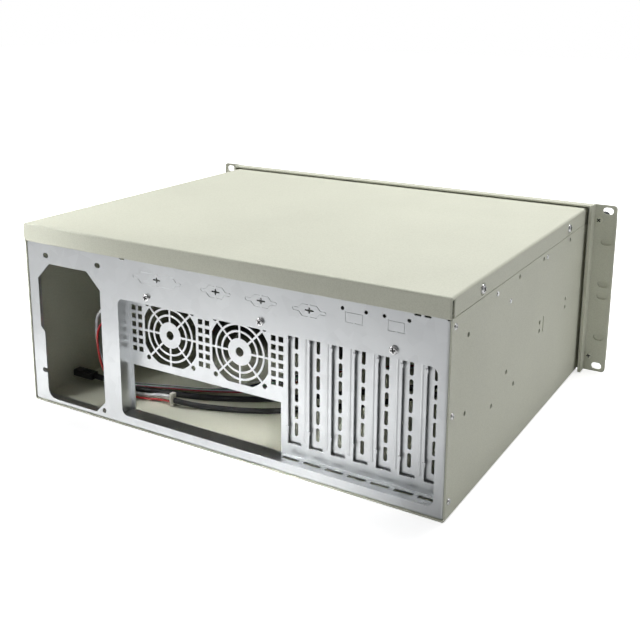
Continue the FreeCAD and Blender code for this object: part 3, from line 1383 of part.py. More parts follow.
# ---- export ---------------------------------------------------------------------------------------------
def all_parts():
    yield "base_shell", make_base_shell()
    yield "top_cover", make_top_cover()
    yield "cover_screws", make_cover_screws()
    yield "side_rivets", make_side_rivets()
    yield "side_studs", make_side_studs()
    yield "rear_panel", make_rear_panel()
    yield "slot_bracket", make_slot_bracket()
    yield "bracket_screws", make_bracket_screws()
    for index in range(slot_count):
        yield f"slot_cover_{index + 1}", make_slot_cover(index)
    yield "slot_screws", make_slot_screws()
    yield "front_tray", make_front_tray()
    yield "ear_left", make_ear_bracket(1)
    yield "ear_right", make_ear_bracket(-1)
    yield "handle_plate_left", make_handle_plate(1)
    yield "handle_plate_right", make_handle_plate(-1)
    yield "handle_left", make_handle(1)
    yield "handle_right", make_handle(-1)
    yield "handle_screws", make_handle_screws()
    yield "tray_screws", make_tray_screws()
    yield "front_door", make_front_door()
    yield "hinge_lugs", make_hinge_lugs()
    yield "hinge_pins", make_hinge_pins()
    yield "lock_housing", make_lock_housing()
    yield "lock_cylinder", make_lock_cylinder()
    yield "lock_catch", make_lock_catch()
    yield "power_button", push_button(power_z, power_radius, power_proud, power_rim)
    yield "reset_button", push_button(reset_z, reset_radius, reset_proud, reset_rim)
    yield "led_lenses", make_led_lenses()
    yield "usb_ports", make_usb_ports()
    yield "control_board", make_control_board()
    yield "fan_frame", make_fan_frame()
    yield "fan_rotor", make_fan_rotor()
    yield "fan_screws", make_fan_screws()
    yield "drive_cage", make_drive_cage()
    for index in range(bay_count):
        yield f"bay_cover_{index + 1}", make_bay_cover(index)
    yield "black_plug", make_black_plug()
    yield "wire_plug", make_wire_plug()
    yield "white_connector", make_white_connector()
    yield "lead_socket", make_lead_socket()
    yield "main_cable", cord_tube(main_cable_route, black_cable_radius, "main_cable")
    yield "side_cable", cord_tube(side_cable_route, thin_cable_radius, "side_cable")
    yield "red_lead", cord_tube(red_lead_route, lead_radius, "red_lead")
    yield "grey_lead", cord_tube(grey_lead_route, grey_lead_radius, "grey_lead")
    for index, colour in enumerate(wire_names):
        yield f"wire_{colour}", cord_tube(wire_points(index), wire_radius, f"wire_{colour}")


os.makedirs("parts", exist_ok=True)
for name, shape in all_parts():
    shape.exportStep(f"parts/{name}.step")
    print(name, len(shape.Solids), "solids", "valid" if shape.isValid() else "INVALID")
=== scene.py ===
"""Looks of the empty rackmount case: materials, screws, rivets, loose cables, studio and camera."""

import json
import math

import bmesh
import bpy
from mathutils import Euler, Matrix, Vector

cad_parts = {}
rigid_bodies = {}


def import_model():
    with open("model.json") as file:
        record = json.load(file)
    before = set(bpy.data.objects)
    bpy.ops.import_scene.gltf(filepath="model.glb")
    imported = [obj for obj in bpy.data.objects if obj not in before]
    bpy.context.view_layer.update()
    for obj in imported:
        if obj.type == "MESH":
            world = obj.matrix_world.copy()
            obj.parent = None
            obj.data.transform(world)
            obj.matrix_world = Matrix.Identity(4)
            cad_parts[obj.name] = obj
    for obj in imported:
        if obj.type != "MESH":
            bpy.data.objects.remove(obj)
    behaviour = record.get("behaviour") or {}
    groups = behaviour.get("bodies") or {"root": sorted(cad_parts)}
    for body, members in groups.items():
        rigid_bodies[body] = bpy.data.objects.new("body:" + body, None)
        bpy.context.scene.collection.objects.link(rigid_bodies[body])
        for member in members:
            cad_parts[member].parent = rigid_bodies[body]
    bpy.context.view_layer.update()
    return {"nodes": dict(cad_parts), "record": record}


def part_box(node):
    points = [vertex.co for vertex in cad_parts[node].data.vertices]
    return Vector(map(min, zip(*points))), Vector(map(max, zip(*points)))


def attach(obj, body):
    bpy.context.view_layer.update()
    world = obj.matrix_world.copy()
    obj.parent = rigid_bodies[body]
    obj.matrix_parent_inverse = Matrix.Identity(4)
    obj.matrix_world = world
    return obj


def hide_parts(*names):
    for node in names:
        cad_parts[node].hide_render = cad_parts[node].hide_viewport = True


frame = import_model()
nodes = frame["nodes"]

MM = 0.001
REAR_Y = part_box("rear_panel")[1].y      # outer face of the rear panel


def spot(x, depth, z):
    """Point in the frame from X, the distance in front of the rear panel, and the height, in metres."""
    return Vector((x, REAR_Y - depth, z))


# ---- materials ------------------------------------------------------------------------------------------
class Surface:
    """A node material built step by step round one Principled shader."""

    def __init__(self, name, roughness, metallic=0.0, specular=0.5):
        self.material = bpy.data.materials.new(name)
        self.material.use_nodes = True
        self.tree = self.material.node_tree
        self.shader = self.tree.nodes["Principled BSDF"]
        self.shader.inputs["Roughness"].default_value = roughness
        self.shader.inputs["Metallic"].default_value = metallic
        self.shader.inputs["Specular IOR Level"].default_value = specular
        self.place = self.tree.nodes.new("ShaderNodeTexCoord").outputs["Object"]
        self.height = None

    def node(self, kind, **settings):
        made = self.tree.nodes.new(kind)
        for key, value in settings.items():
            setattr(made, key, value)
        return made

    def link(self, source, target):
        self.tree.links.new(source, target)

    def stretched(self, scale):
        mapping = self.node("ShaderNodeMapping")
        mapping.inputs["Scale"].default_value = scale
        self.link(self.place, mapping.inputs["Vector"])
        return mapping.outputs["Vector"]

    def noise(self, scale, detail=3.0, rough=0.55):
        """Soft noise from 0 to 1; scale is per metre."""
        made = self.node("ShaderNodeTexNoise")
        made.inputs["Scale"].default_value = scale
        made.inputs["Detail"].default_value = detail
        made.inputs["Roughness"].default_value = rough
        self.link(self.place, made.inputs["Vector"])
        return made.outputs["Fac"]

    def cells(self, scale, stretch=None):
        """Flat patches, each with its own value from 0 to 1."""
        made = self.node("ShaderNodeTexVoronoi")
        made.inputs["Scale"].default_value = scale
        self.link(self.stretched(stretch) if stretch else self.place, made.inputs["Vector"])
        split = self.node("ShaderNodeSeparateColor")
        self.link(made.outputs["Color"], split.inputs["Color"])
        return split.outputs["Red"]

    def ramp(self, source, stops):
        """Colour from a value, between (position, colour) stops."""
        made = self.node("ShaderNodeValToRGB")
        ramp = made.color_ramp
        for index, (position, colour) in enumerate(stops):
            stop = ramp.elements[index] if index < 2 else ramp.elements.new(position)
            stop.position = position
            stop.color = (*colour, 1.0)
        self.link(source, made.inputs["Fac"])
        return made.outputs["Color"]

    def product(self, first, second):
        """Two colours multiplied."""
        made = self.node("ShaderNodeMix", data_type="RGBA", blend_type="MULTIPLY")
        made.inputs[0].default_value = 1.0
        self.link(first, made.inputs[6])
        self.link(second, made.inputs[7])
        return made.outputs[2]

    def span(self, source, low, high, from_low=0.0, from_high=1.0):
        """A value moved from one range to another."""
        made = self.node("ShaderNodeMapRange")
        made.inputs["From Min"].default_value = from_low
        made.inputs["From Max"].default_value = from_high
        made.inputs["To Min"].default_value = low
        made.inputs["To Max"].default_value = high
        self.link(source, made.inputs["Value"])
        return made.outputs["Result"]

    def colour(self, source):
        self.link(source, self.shader.inputs["Base Color"])

    def roughness(self, source):
        self.link(source, self.shader.inputs["Roughness"])

    def bump(self, source, distance, strength):
        """Fine relief on top of the rounded edges."""
        made = self.node("ShaderNodeBump")
        made.inputs["Distance"].default_value = distance
        made.inputs["Strength"].default_value = strength
        self.link(source, made.inputs["Height"])
        if self.height:
            self.link(self.height, made.inputs["Normal"])
        self.height = made.outputs["Normal"]
        self.link(self.height, self.shader.inputs["Normal"])

    def soft_edges(self, radius):
        """Edges shaded as if they had this radius."""
        made = self.node("ShaderNodeBevel", samples=4)
        made.inputs["Radius"].default_value = radius
        self.height = made.outputs["Normal"]
        self.link(self.height, self.shader.inputs["Normal"])


def shade(colour, factor):
    """Colour made darker or lighter."""
    return tuple(channel * factor for channel in colour)


def powder_coat(name, colour, roughness=0.5):
    """Sprayed paint with a fine orange-peel grain."""
    s = Surface(name, roughness)
    s.soft_edges(0.0006)
    broad = s.ramp(s.noise(9.0, 4.0), [(0.3, shade(colour, 0.965)), (0.7, shade(colour, 1.03))])
    speck = s.ramp(s.noise(900.0, 1.0), [(0.35, (0.93, 0.93, 0.92)), (0.6, (1.0, 1.0, 1.0))])
    s.colour(s.product(broad, speck))
    s.roughness(s.span(s.noise(35.0, 5.0), roughness - 0.07, roughness + 0.09))
    s.bump(s.noise(700.0, 2.0, 0.5), 0.00004, 0.35)
    return s.material


def zinc_sheet(name, colour, roughness=0.36, spangle=90.0):
    """Galvanised sheet: faint crystals, cloudy tone and bloom."""
    s = Surface(name, roughness, metallic=1.0)
    s.soft_edges(0.00025)
    crystals = s.ramp(s.cells(spangle), [(0.0, shade(colour, 0.97)), (1.0, shade(colour, 1.03))])
    clouds = s.ramp(s.noise(11.0, 5.0, 0.6), [(0.3, (0.95, 0.955, 0.965)), (0.72, (1.0, 1.0, 1.0))])
    s.colour(s.product(crystals, clouds))
    bloom = s.noise(60.0, 5.0, 0.65)
    s.roughness(s.span(bloom, roughness - 0.04, roughness + 0.05, 0.3, 0.7))
    s.bump(bloom, 0.00002, 0.15)
    return s.material


def plated(name, colour, roughness, patchy=1.0):
    """Plated steel; patchy sets how uneven its tone and gloss are."""
    s = Surface(name, roughness, metallic=1.0)
    s.soft_edges(0.0001)
    s.colour(s.ramp(s.noise(300.0, 3.0), [(0.3, shade(colour, 1 - 0.2 * patchy)), (0.7, colour)]))
    s.roughness(s.span(s.noise(500.0, 4.0), roughness - 0.06 * patchy, roughness + 0.16 * patchy))
    s.bump(s.noise(1500.0, 2.0), 0.00002, 0.3 * patchy)
    return s.material


def moulded(name, colour, roughness=0.5):
    """Moulded plastic with a fine grain."""
    s = Surface(name, roughness)
    s.soft_edges(0.0002)
    s.colour(s.ramp(s.noise(60.0, 4.0), [(0.3, shade(colour, 0.88)), (0.7, shade(colour, 1.08))]))
    s.roughness(s.span(s.noise(220.0, 3.0), roughness - 0.08, roughness + 0.1))
    s.bump(s.noise(1400.0, 2.0), 0.00003, 0.4)
    return s.material


def insulation(name, colour, roughness=0.42):
    """Extruded cable jacket or wire insulation."""
    s = Surface(name, roughness)
    s.colour(s.ramp(s.noise(120.0, 3.0), [(0.3, shade(colour, 0.82)), (0.7, shade(colour, 1.1))]))
    s.roughness(s.span(s.noise(400.0, 2.0), roughness - 0.1, roughness + 0.12))
    s.bump(s.noise(800.0, 2.0), 0.00004, 0.3)
    return s.material


def board_material(name):
    """Green solder mask with tracks showing through."""
    s = Surface(name, 0.35)
    tracks = s.cells(420.0, stretch=(1.0, 1.0, 0.35))
    s.colour(s.ramp(tracks, [(0.45, (0.012, 0.11, 0.035)), (0.55, (0.02, 0.16, 0.055))]))
    s.roughness(s.span(s.noise(300.0, 2.0), 0.3, 0.45))
    s.bump(tracks, 0.00004, 0.5)
    return s.material


def lens_material(name):
    """Milky lens of an indicator lamp."""
    s = Surface(name, 0.2)
    s.colour(s.ramp(s.noise(500.0, 2.0), [(0.3, (0.78, 0.82, 0.80)), (0.7, (0.9, 0.93, 0.9))]))
    s.shader.inputs["Transmission Weight"].default_value = 0.45
    s.shader.inputs["Subsurface Weight"].default_value = 0.2
    s.shader.inputs["Subsurface Radius"].default_value = (0.001, 0.001, 0.001)
    s.bump(s.noise(900.0, 1.0), 0.00002, 0.2)
    return s.material


COAT = (0.655, 0.665, 0.555)
ZINC = (0.655, 0.67, 0.675)

materials = {
    "painted_steel": powder_coat("case_coat", COAT),
    "galvanised": zinc_sheet("zinc_sheet", ZINC),
    "plated_screw": plated("zinc_plate", (0.80, 0.80, 0.80), 0.22),
    # painted shade: a near-black plated finish for the faces inside the screws' cross recesses, where shade
    # falls
    "recess_painted_shade": plated("recess_painted_shade", (0.10, 0.10, 0.095), 0.5),
    "chrome_bar": plated("chrome_bar", (0.78, 0.79, 0.80), 0.12, 0.12),
    "black_plastic": moulded("black_plastic", (0.022, 0.022, 0.024)),
    "beige_plastic": moulded("beige_plastic", (0.52, 0.52, 0.45), 0.45),
    "white_nylon": moulded("white_nylon", (0.78, 0.76, 0.68), 0.38),
    "circuit_board": board_material("circuit_board"),
    "clear_lens": lens_material("clear_lens"),
    "black_cable": insulation("black_jacket", (0.010, 0.010, 0.012), 0.5),
    "red_insulation": insulation("red_insulation", (0.50, 0.03, 0.03)),
    "grey_insulation": insulation("grey_insulation", (0.62, 0.62, 0.65)),
    "white_insulation": insulation("white_insulation", (0.80, 0.80, 0.80)),
    "green_insulation": insulation("green_insulation", (0.30, 0.52, 0.38)),
    "blue_insulation": insulation("blue_insulation", (0.015, 0.02, 0.045)),
    "violet_insulation": insulation("violet_insulation", (0.44, 0.38, 0.54)),
    "wire_red": insulation("dark_red_insulation", (0.24, 0.02, 0.02)),
}


# every CAD node takes the material that its slot in the record names
for part in frame["record"]["subparts"]:
    finish = nodes[part["node"]].data.materials
    finish.clear()
    finish.append(materials[part["material_slot"]])


# ---- small hardware -------------------------------------------------------------------------------------
SHARP_FROM = math.radians(35)           # steeper edges stay sharp in the shading
RECESS_REACH = 0.66                     # half length of a recess arm, as a share of the head's radius
RECESS_WIDTH = 0.34                     # its width, as a share of the same
RECESS_DEPTH = 0.8                      # as a share of the head's height


def mesh_from(name, points, faces):
    mesh = bpy.data.meshes.new(name)
    mesh.from_pydata(points, [], faces)
    mesh.update()
    return mesh


def lathe(name, profile, steps=32):
    """Closed solid of revolution about Z from (radius, height) points; the first and last lie on the axis."""
    points = [(0.0, 0.0, profile[0][1])]
    rings = profile[1:-1]
    for radius, height in rings:
        for step in range(steps):
            angle = 2 * math.pi * step / steps
            points.append((radius * math.cos(angle), radius * math.sin(angle), height))
    points.append((0.0, 0.0, profile[-1][1]))
    faces = []
    last = len(points) - 1
    for step in range(steps):
        ahead = (step + 1) % steps
        faces.append((0, 1 + ahead, 1 + step))
        for ring in range(len(rings) - 1):
            a, b = 1 + ring * steps, 1 + (ring + 1) * steps
            faces.append((a + step, a + ahead, b + ahead, b + step))
        top = 1 + (len(rings) - 1) * steps
        faces.append((top + step, top + ahead, last))
    return mesh_from(name, points, faces)


def piece(name, mesh, body, material):
    """A visible object that rides on a body."""
    thing = bpy.data.objects.new(name, mesh)
    bpy.context.scene.collection.objects.link(thing)
    mesh.shade_smooth()
    mesh.set_sharp_from_angle(angle=SHARP_FROM)
    mesh.materials.append(material)
    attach(thing, body)
    return thing


def cut_mesh(mesh, cutter_mesh):
    """Mesh less another mesh, by an applied boolean."""
    scene = bpy.context.scene.collection.objects
    base = bpy.data.objects.new("base_tmp", mesh)
    cutter = bpy.data.objects.new("cutter_tmp", cutter_mesh)
    scene.link(base)
    scene.link(cutter)
    modifier = base.modifiers.new("cut", "BOOLEAN")
    modifier.operation = "DIFFERENCE"
    modifier.solver = "EXACT"
    modifier.use_self = True        # the cutter's two arms cross each other
    modifier.object = cutter
    bpy.context.view_layer.update()
    graph = bpy.context.evaluated_depsgraph_get()
    made = bpy.data.meshes.new_from_object(base.evaluated_get(graph))
    bpy.data.objects.remove(base)
    bpy.data.objects.remove(cutter)
    return made


def cross_cutter(reach, width, depth, top):
    """Tapered cross-shaped plug, like the tip of a driver."""
    made = bmesh.new()
    for turn in range(2):
        sizes = ((reach * 0.45, width * 0.7, top - depth), (reach, width, top + 0.2 * depth))
        rings = []
        for half_long, half_wide, z in sizes:
            ring = []
            for sx, sy in ((1, 1), (-1, 1), (-1, -1), (1, -1)):
                x, y = sx * half_long, sy * half_wide / 2
                if turn:
                    x, y = -y, x
                ring.append(made.verts.new((x, y, z)))
            rings.append(ring)
        low, high = rings
        made.faces.new(list(reversed(low)))
        made.faces.new(high)
        for i in range(4):
            j = (i + 1) % 4
            made.faces.new((low[i], low[j], high[j], high[i]))
    mesh = bpy.data.meshes.new("cross")
    made.to_mesh(mesh)
    made.free()
    return mesh


def pan_head_screw(name, radius, height, shank_radius, shank_length):
    """Cross-recessed pan head and shank; the recess faces take the second material, a dark finish that paints
    the shade inside the recess.
    """
    crown = 0.62 * height
    profile = [(0, -shank_length), (shank_radius * 0.7, -shank_length), (shank_radius, -shank_length * 0.93),
               (shank_radius, 0.0), (radius * 0.96, 0.0), (radius, height * 0.14), (radius, height - crown)]
    for step in range(1, 6):
        angle = math.pi / 2 * step / 6
        profile.append((radius * (0.55 + 0.45 * math.cos(angle)), height - crown + crown * math.sin(angle)))
    profile += [(radius * 0.5, height), (0, height)]
    body = lathe(name, profile)
    reach = radius * RECESS_REACH
    made = cut_mesh(body, cross_cutter(reach, radius * RECESS_WIDTH, height * RECESS_DEPTH, height))
    made.materials.append(None)
    made.materials.append(None)     # an index past the last slot would be refused
    # the faces inside the recess are picked out for the painted shade
    for face in made.polygons:
        if math.hypot(face.center.x, face.center.y) < reach and 0 < face.center.z < height * 0.93:
            face.material_index = 1
    return made


def rivet_mesh(name, radius, height, shank_radius, shank_length):
    """Domed blind rivet with the hole its mandrel leaves."""
    hole = radius * 0.36
    profile = [(0, -shank_length), (shank_radius, -shank_length), (shank_radius, 0), (radius, 0),
               (radius * 0.98, height * 0.25), (radius * 0.85, height * 0.62), (radius * 0.62, height * 0.93),
               (hole * 1.25, height), (hole, height * 0.92), (hole * 0.96, height * 0.3), (0, height * 0.34)]
    return lathe(name, profile)


def arranged(name, mesh, places, body, material, replaced):
    """One piece made of copies of a mesh; places are (seat, outward direction, turn about it)."""
    made = bmesh.new()
    for seat, outward, turn in places:
        copy = mesh.copy()
        facing = outward.to_track_quat("Z", "Y").to_matrix().to_4x4()
        copy.transform(Matrix.Translation(seat) @ facing @ Matrix.Rotation(turn, 4, "Z"))
        made.from_mesh(copy)
        bpy.data.meshes.remove(copy)
    joined = bpy.data.meshes.new(name)
    made.to_mesh(joined)
    made.free()
    thing = piece(name, joined, body, material)
    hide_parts(replaced)
    return thing


def islands(node):
    """Boxes of a node's separate solids, as (lowest corner, highest corner)."""
    made = bmesh.new()
    made.from_mesh(nodes[node].data)
    bmesh.ops.remove_doubles(made, verts=made.verts, dist=1e-6)
    left = set(made.verts)
    boxes = []
    while left:
        stack = [left.pop()]
        found = []
        while stack:
            vert = stack.pop()
            found.append(vert.co.copy())
            for edge in vert.link_edges:
                other = edge.other_vert(vert)
                if other in left:
                    left.remove(other)
                    stack.append(other)
        low = Vector(min(p[i] for p in found) for i in range(3))
        high = Vector(max(p[i] for p in found) for i in range(3))
        boxes.append((low, high))
    made.free()
    return sorted(boxes, key=lambda box: tuple(box[0]))


def seats(node, axis, sign, head_height):
    """Seat point and outward direction of each screw of a node, from the boxes of its solids."""
    found = []
    for index, (low, high) in enumerate(islands(node)):
        middle = (low + high) / 2
        outward = Vector((0, 0, 0))
        way = sign if sign else (1 if middle[axis] > 0 else -1)
        outward[axis] = way
        middle[axis] = (high[axis] if way > 0 else low[axis]) - way * head_height
        found.append((middle, outward, 0.6 * index + 0.2))
    return found


# node, axis it points along, its sign (0: away from the middle), then in millimetres the head's radius and
# height and the shank's radius and length, and the slot
screw_sets = (
    ("cover_screws", 0, 0, 4.0, 3.2, 1.6, 6.0, "plated_screw"),
    ("bracket_screws", 1, 1, 3.6, 2.2, 1.6, 6.0, "plated_screw"),
    ("slot_screws", 2, 1, 3.2, 2.2, 1.6, 5.0, "plated_screw"),
    ("handle_screws", 1, 1, 3.6, 1.5, 1.9, 12.0, "painted_steel"),
    ("fan_screws", 1, -1, 3.6, 2.2, 2.2, 10.0, "plated_screw"),
)
for node, axis, sign, radius, height, shank, length, slot in screw_sets:
    screw = pan_head_screw(node + "_one", radius * MM, height * MM, shank * MM, length * MM)
    places = seats(node, axis, sign, height * MM)
    screws = arranged(node + "_detail", screw, places, "case", materials[slot], node)
    # second slot: the dark finish that paints the shade inside each cross recess
    screws.data.materials.append(materials["recess_painted_shade"])

RIVET_RADIUS, RIVET_HEAD = 2.7 * MM, 1.3 * MM
RIVET_SHANK_RADIUS, RIVET_SHANK = 1.6 * MM, 4.5 * MM
rivet = rivet_mesh("rivet_one", RIVET_RADIUS, RIVET_HEAD, RIVET_SHANK_RADIUS, RIVET_SHANK)
arranged("side_rivets_detail", rivet, seats("side_rivets", 0, 0, RIVET_HEAD), "case",
         materials["plated_screw"], "side_rivets")


# ---- loose cables ---------------------------------------------------------------------------------------
# route points in millimetres: X, distance in front of the rear panel, height
main_cable_route = (
    (184, 51, 11.7), (173, 51, 11.7), (158, 54, 8), (141, 60, 4.8), (113, 68, 4.1), (81, 76, 4.1),
    (48, 89, 4.1), (14, 109, 4.1), (-16, 134, 4.1), (-44, 162, 4.1), (-74, 190, 4.1), (-112, 228, 4.1),
    (-136, 255, 6.5), (-156, 278, 16), (-170, 300, 30), (-178, 322, 42), (-178, 342.9, 42),
)
side_cable_route = (
    (85.9, 55, 6.6), (73.5, 55, 6.6), (53, 64, 4), (17, 77, 4), (-8, 92, 4), (-34, 114, 4), (-62, 141, 4),
    (-90, 170, 4), (-116, 202, 4), (-142, 232, 4.8), (-160, 258, 10), (-174, 280, 22), (-184, 300, 38),
    (-190, 322, 52), (-190, 342.9, 52),
)
red_lead_route = (
    (90.1, 55, 4.4), (100, 55, 4.4), (114, 51.5, 3), (131, 47.5, 2.8), (150, 44.5, 6), (163, 43, 22),
    (170, 42.5, 44), (168, 41, 66), (154, 37.5, 80), (140, 34.5, 71), (135, 35.5, 53), (134, 36, 36),
    (134, 36, 17.2),
)
grey_lead_route = (
    (90.1, 55, 9.2), (101, 55, 9.2), (116, 55.5, 5), (135, 53, 3.4), (154, 49.6, 8), (168, 49, 24),
    (175, 49, 42), (176.5, 49, 60), (174.5, 48.5, 76.5), (166.5, 47.5, 85), (155, 45.5, 85.5),
    (147.5, 42.5, 77), (146, 39, 59), (146, 36, 38), (146, 36, 17.2),
)
wire_route = (
    (159.5, 72.8, 3.4), (150, 72.8, 3.4), (134, 77, 4.6), (108, 85, 5.6), (82, 92, 5.6), (58, 106, 7.2),
    (34, 128, 12.5), (2, 158, 17), (-32, 190, 17.5), (-68, 222, 14), (-104, 252, 12), (-134, 277, 22),
    (-154, 298, 42), (-165, 316, 66), (-170, 329.5, 86), (-170, 342.9, 86),
)
# how far each point moves for each further wire of the row
wire_spread = (
    (0, -1.9, 0), (0, -1.9, 0), (0, -2, 0), (0, -2, 0), (-4, -1.3, 0.6), (-9, 0.2, 0.7), (-8, 0, 0.8),
    (-6, 0, 1), (-4.5, 0, 1.2), (-3.2, 0, 1.4), (-2.6, 0, 1.6), (-2.2, 0, 1.8), (-2, 0, 2.2),
    (-1.6, 0, 2.4), (-1.4, 0, 2.7), (-1.4, 0, 2.7),
)


def cord_curve(name, route, radius, material):
    """Smooth round cord with the route's points as the control points of its spline."""
    curve = bpy.data.curves.new(name, "CURVE")
    curve.dimensions = "3D"
    curve.bevel_depth = radius
    curve.bevel_resolution = 4
    curve.resolution_u = 10
    curve.use_fill_caps = True
    spline = curve.splines.new("NURBS")
    spline.points.add(len(route) - 1)
    for point, place in zip(spline.points, route):
        point.co = (*spot(*(value * MM for value in place)), 1.0)
    spline.order_u = 3
    spline.use_endpoint_u = True
    thing = bpy.data.objects.new(name, curve)
    bpy.context.scene.collection.objects.link(thing)
    curve.materials.append(material)
    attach(thing, "case")
    return thing


def lay_cord(node, route, diameter, slot, material=None):
    """Cord in place of a CAD node, which it hides."""
    thing = cord_curve(node + "_cord", route, diameter / 2, material or materials[slot])
    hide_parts(node)


lay_cord("main_cable", main_cable_route, 0.0054, "black_cable")
lay_cord("side_cable", side_cable_route, 0.0052, "black_cable")
lay_cord("red_lead", red_lead_route, 0.0022, "red_insulation")
lay_cord("grey_lead", grey_lead_route, 0.0034, "grey_insulation")
wires = (("white", 0.470), ("blue", 0.475), ("green", 0.479), ("violet", 0.484), ("red", 0.489))
for index, (colour, length) in enumerate(wires):
    wire = "wire_" + colour
    points = [tuple(a + b * index for a, b in zip(point, step))
              for point, step in zip(wire_route, wire_spread)]
    lay_cord(wire, points, 0.0016, colour + "_insulation",
             materials.get(wire))


# ---- studio ---------------------------------------------------------------------------------------------
FLOOR_HALF = 6.0
FLOOR_DROP = 0.0004             # clear of the case's underside
CAMERA_GLOW = (0.66, 1.1)       # near and far strength of the glow that the camera sees
GLOW_SPAN = (0.25, 1.3)         # distances from the origin between which it changes
# painted light: a pool of glow on the floor round the case that only metal sees in its reflections, strong
# near the case and gone beyond REFLECTED_SPAN
REFLECTED_GLOW = (0.85, 0.0)    # the same for the glow that metal reflects
REFLECTED_SPAN = (0.18, 0.33)
REFLECTED_CENTRE = (0.10, 0.20, 0.0)
SKY = (0.05, 0.30)              # brightness at the horizon and overhead


def floor_material():
    """Pale matt floor; a glow that only the camera sees lifts it to white and keeps the shadow, and a painted
    pool of light near the case, seen only by metal, brightens what the metal reflects.
    """
    material = bpy.data.materials.new("studio_floor")
    material.use_nodes = True
    tree = material.node_tree
    shader = tree.nodes["Principled BSDF"]
    shader.inputs["Roughness"].default_value = 0.9
    shader.inputs["Specular IOR Level"].default_value = 0.0
    shader.inputs["Base Color"].default_value = (0.80, 0.80, 0.80, 1.0)
    path = tree.nodes.new("ShaderNodeLightPath")
    place = tree.nodes.new("ShaderNodeTexCoord")

    def glow(centre, span, levels, seen_by):
        reach = tree.nodes.new("ShaderNodeVectorMath")
        reach.operation = "DISTANCE"
        reach.inputs[1].default_value = centre
        tree.links.new(place.outputs["Object"], reach.inputs[0])
        near_far = tree.nodes.new("ShaderNodeMapRange")
        near_far.interpolation_type = "SMOOTHSTEP"
        near_far.inputs["From Min"].default_value = span[0]
        near_far.inputs["From Max"].default_value = span[1]
        near_far.inputs["To Min"].default_value = levels[0]
        near_far.inputs["To Max"].default_value = levels[1]
        tree.links.new(reach.outputs["Value"], near_far.inputs["Value"])
        share = tree.nodes.new("ShaderNodeMath")
        share.operation = "MULTIPLY"
        tree.links.new(near_far.outputs["Result"], share.inputs[0])
        tree.links.new(path.outputs[seen_by], share.inputs[1])
        return share.outputs[0]

    total = tree.nodes.new("ShaderNodeMath")
    total.operation = "ADD"
    tree.links.new(glow((0, 0, 0), GLOW_SPAN, CAMERA_GLOW, "Is Camera Ray"), total.inputs[0])
    tree.links.new(glow(REFLECTED_CENTRE, REFLECTED_SPAN, REFLECTED_GLOW, "Is Glossy Ray"),
                   total.inputs[1])
    light = tree.nodes.new("ShaderNodeEmission")
    tree.links.new(total.outputs[0], light.inputs["Strength"])
    both = tree.nodes.new("ShaderNodeAddShader")
    tree.links.new(shader.outputs[0], both.inputs[0])
    tree.links.new(light.outputs[0], both.inputs[1])
    tree.links.new(both.outputs[0], tree.nodes["Material Output"].inputs["Surface"])
    return material


corners = [(-FLOOR_HALF, -FLOOR_HALF, 0), (FLOOR_HALF, -FLOOR_HALF, 0), (FLOOR_HALF, FLOOR_HALF, 0),
           (-FLOOR_HALF, FLOOR_HALF, 0)]
floor = bpy.data.objects.new("studio_floor", mesh_from("studio_floor", corners, [(0, 1, 2, 3)]))
floor.location.z = -FLOOR_DROP
bpy.context.scene.collection.objects.link(floor)
floor.data.materials.append(floor_material())


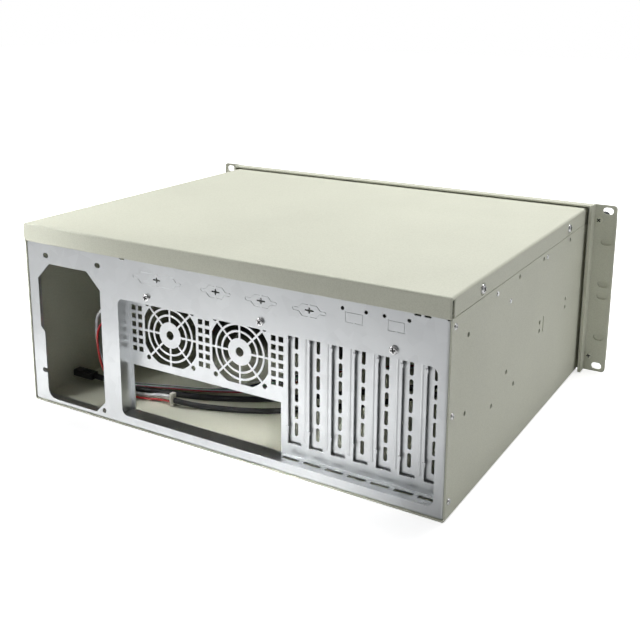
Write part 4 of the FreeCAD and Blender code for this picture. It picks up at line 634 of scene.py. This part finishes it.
def studio_world():
    """White to the camera; a soft sky, brighter overhead, to everything else."""
    world = bpy.data.worlds.new("studio")
    world.use_nodes = True
    tree = world.node_tree
    sky = tree.nodes["Background"]
    sky.inputs["Color"].default_value = (0.985, 0.99, 1.0, 1.0)
    place = tree.nodes.new("ShaderNodeTexCoord")
    axes = tree.nodes.new("ShaderNodeSeparateXYZ")
    tree.links.new(place.outputs["Generated"], axes.inputs[0])
    rise = tree.nodes.new("ShaderNodeMapRange")
    rise.inputs["From Min"].default_value = 0.0
    rise.inputs["From Max"].default_value = 1.0
    rise.inputs["To Min"].default_value = SKY[0]
    rise.inputs["To Max"].default_value = SKY[1]
    tree.links.new(axes.outputs["Z"], rise.inputs["Value"])
    tree.links.new(rise.outputs["Result"], sky.inputs["Strength"])
    white = tree.nodes.new("ShaderNodeBackground")
    path = tree.nodes.new("ShaderNodeLightPath")
    mix = tree.nodes.new("ShaderNodeMixShader")
    tree.links.new(path.outputs["Is Camera Ray"], mix.inputs["Fac"])
    tree.links.new(sky.outputs[0], mix.inputs[1])
    tree.links.new(white.outputs[0], mix.inputs[2])
    tree.links.new(mix.outputs[0], tree.nodes["World Output"].inputs["Surface"])
    white.inputs["Color"].default_value = (1.0, 1.0, 1.0, 1.0)
    bpy.context.scene.world = world


studio_world()


def soft_light(name, place, target, size, power, spread=180.0):
    """Rectangular lamp aimed at a point; its own shape stays out of the picture."""
    data = bpy.data.lights.new(name, "AREA")
    data.shape = "RECTANGLE"
    data.size, data.size_y = size
    data.energy = power
    data.spread = math.radians(spread)
    thing = bpy.data.objects.new(name, data)
    thing.location = place
    thing.rotation_euler = (Vector(target) - Vector(place)).to_track_quat("-Z", "Y").to_euler()
    thing.visible_camera = False
    bpy.context.scene.collection.objects.link(thing)


soft_light("key", (-0.05, -0.42, 1.35), (0, -0.05, 0), (0.9, 0.9), 18.5)
soft_light("side", (0.75, 0.75, 0.5), (0.1, 0.2, 0.1), (0.4, 0.4), 2.5)
soft_light("right", (-1.3, -0.35, 0.6), (-0.2, 0, 0.1), (0.6, 0.6), 1.9)
# three weak lamps: for the rear corner, through the window, and above the floor inside it
soft_light("corner", (0.55, 0.95, 0.60), (0.24, 0.19, 0.13), (0.15, 0.15), 0.10, 18.0)
soft_light("window", (0.45, 1.1, 0.55), (-0.05, 0.18, 0.02), (0.14, 0.10), 0.075, 10.0)
soft_light("inside", (0.045, 0.155, 0.06), (0.045, 0.154, 0), (0.15, 0.05), 0.0125, 45.0)

# camera solved from sizes of the case that the photograph shows
CAMERA_PLACE = (-0.4446, 0.7729, 0.3720)
CAMERA_TURN = (76.679, -0.272, -148.963)
LENS = 52.07
SHIFT = (0.0116, -0.15)

camera_data = bpy.data.cameras.new("camera")
camera_data.lens = LENS
camera_data.shift_x, camera_data.shift_y = SHIFT
camera_data.clip_start = 0.01
camera_data.clip_end = 50.0
camera = bpy.data.objects.new("camera", camera_data)
camera.location = CAMERA_PLACE
camera.rotation_euler = Euler([math.radians(angle) for angle in CAMERA_TURN])
bpy.context.scene.collection.objects.link(camera)
bpy.context.scene.camera = camera

bpy.context.scene.view_settings.view_transform = "Standard"
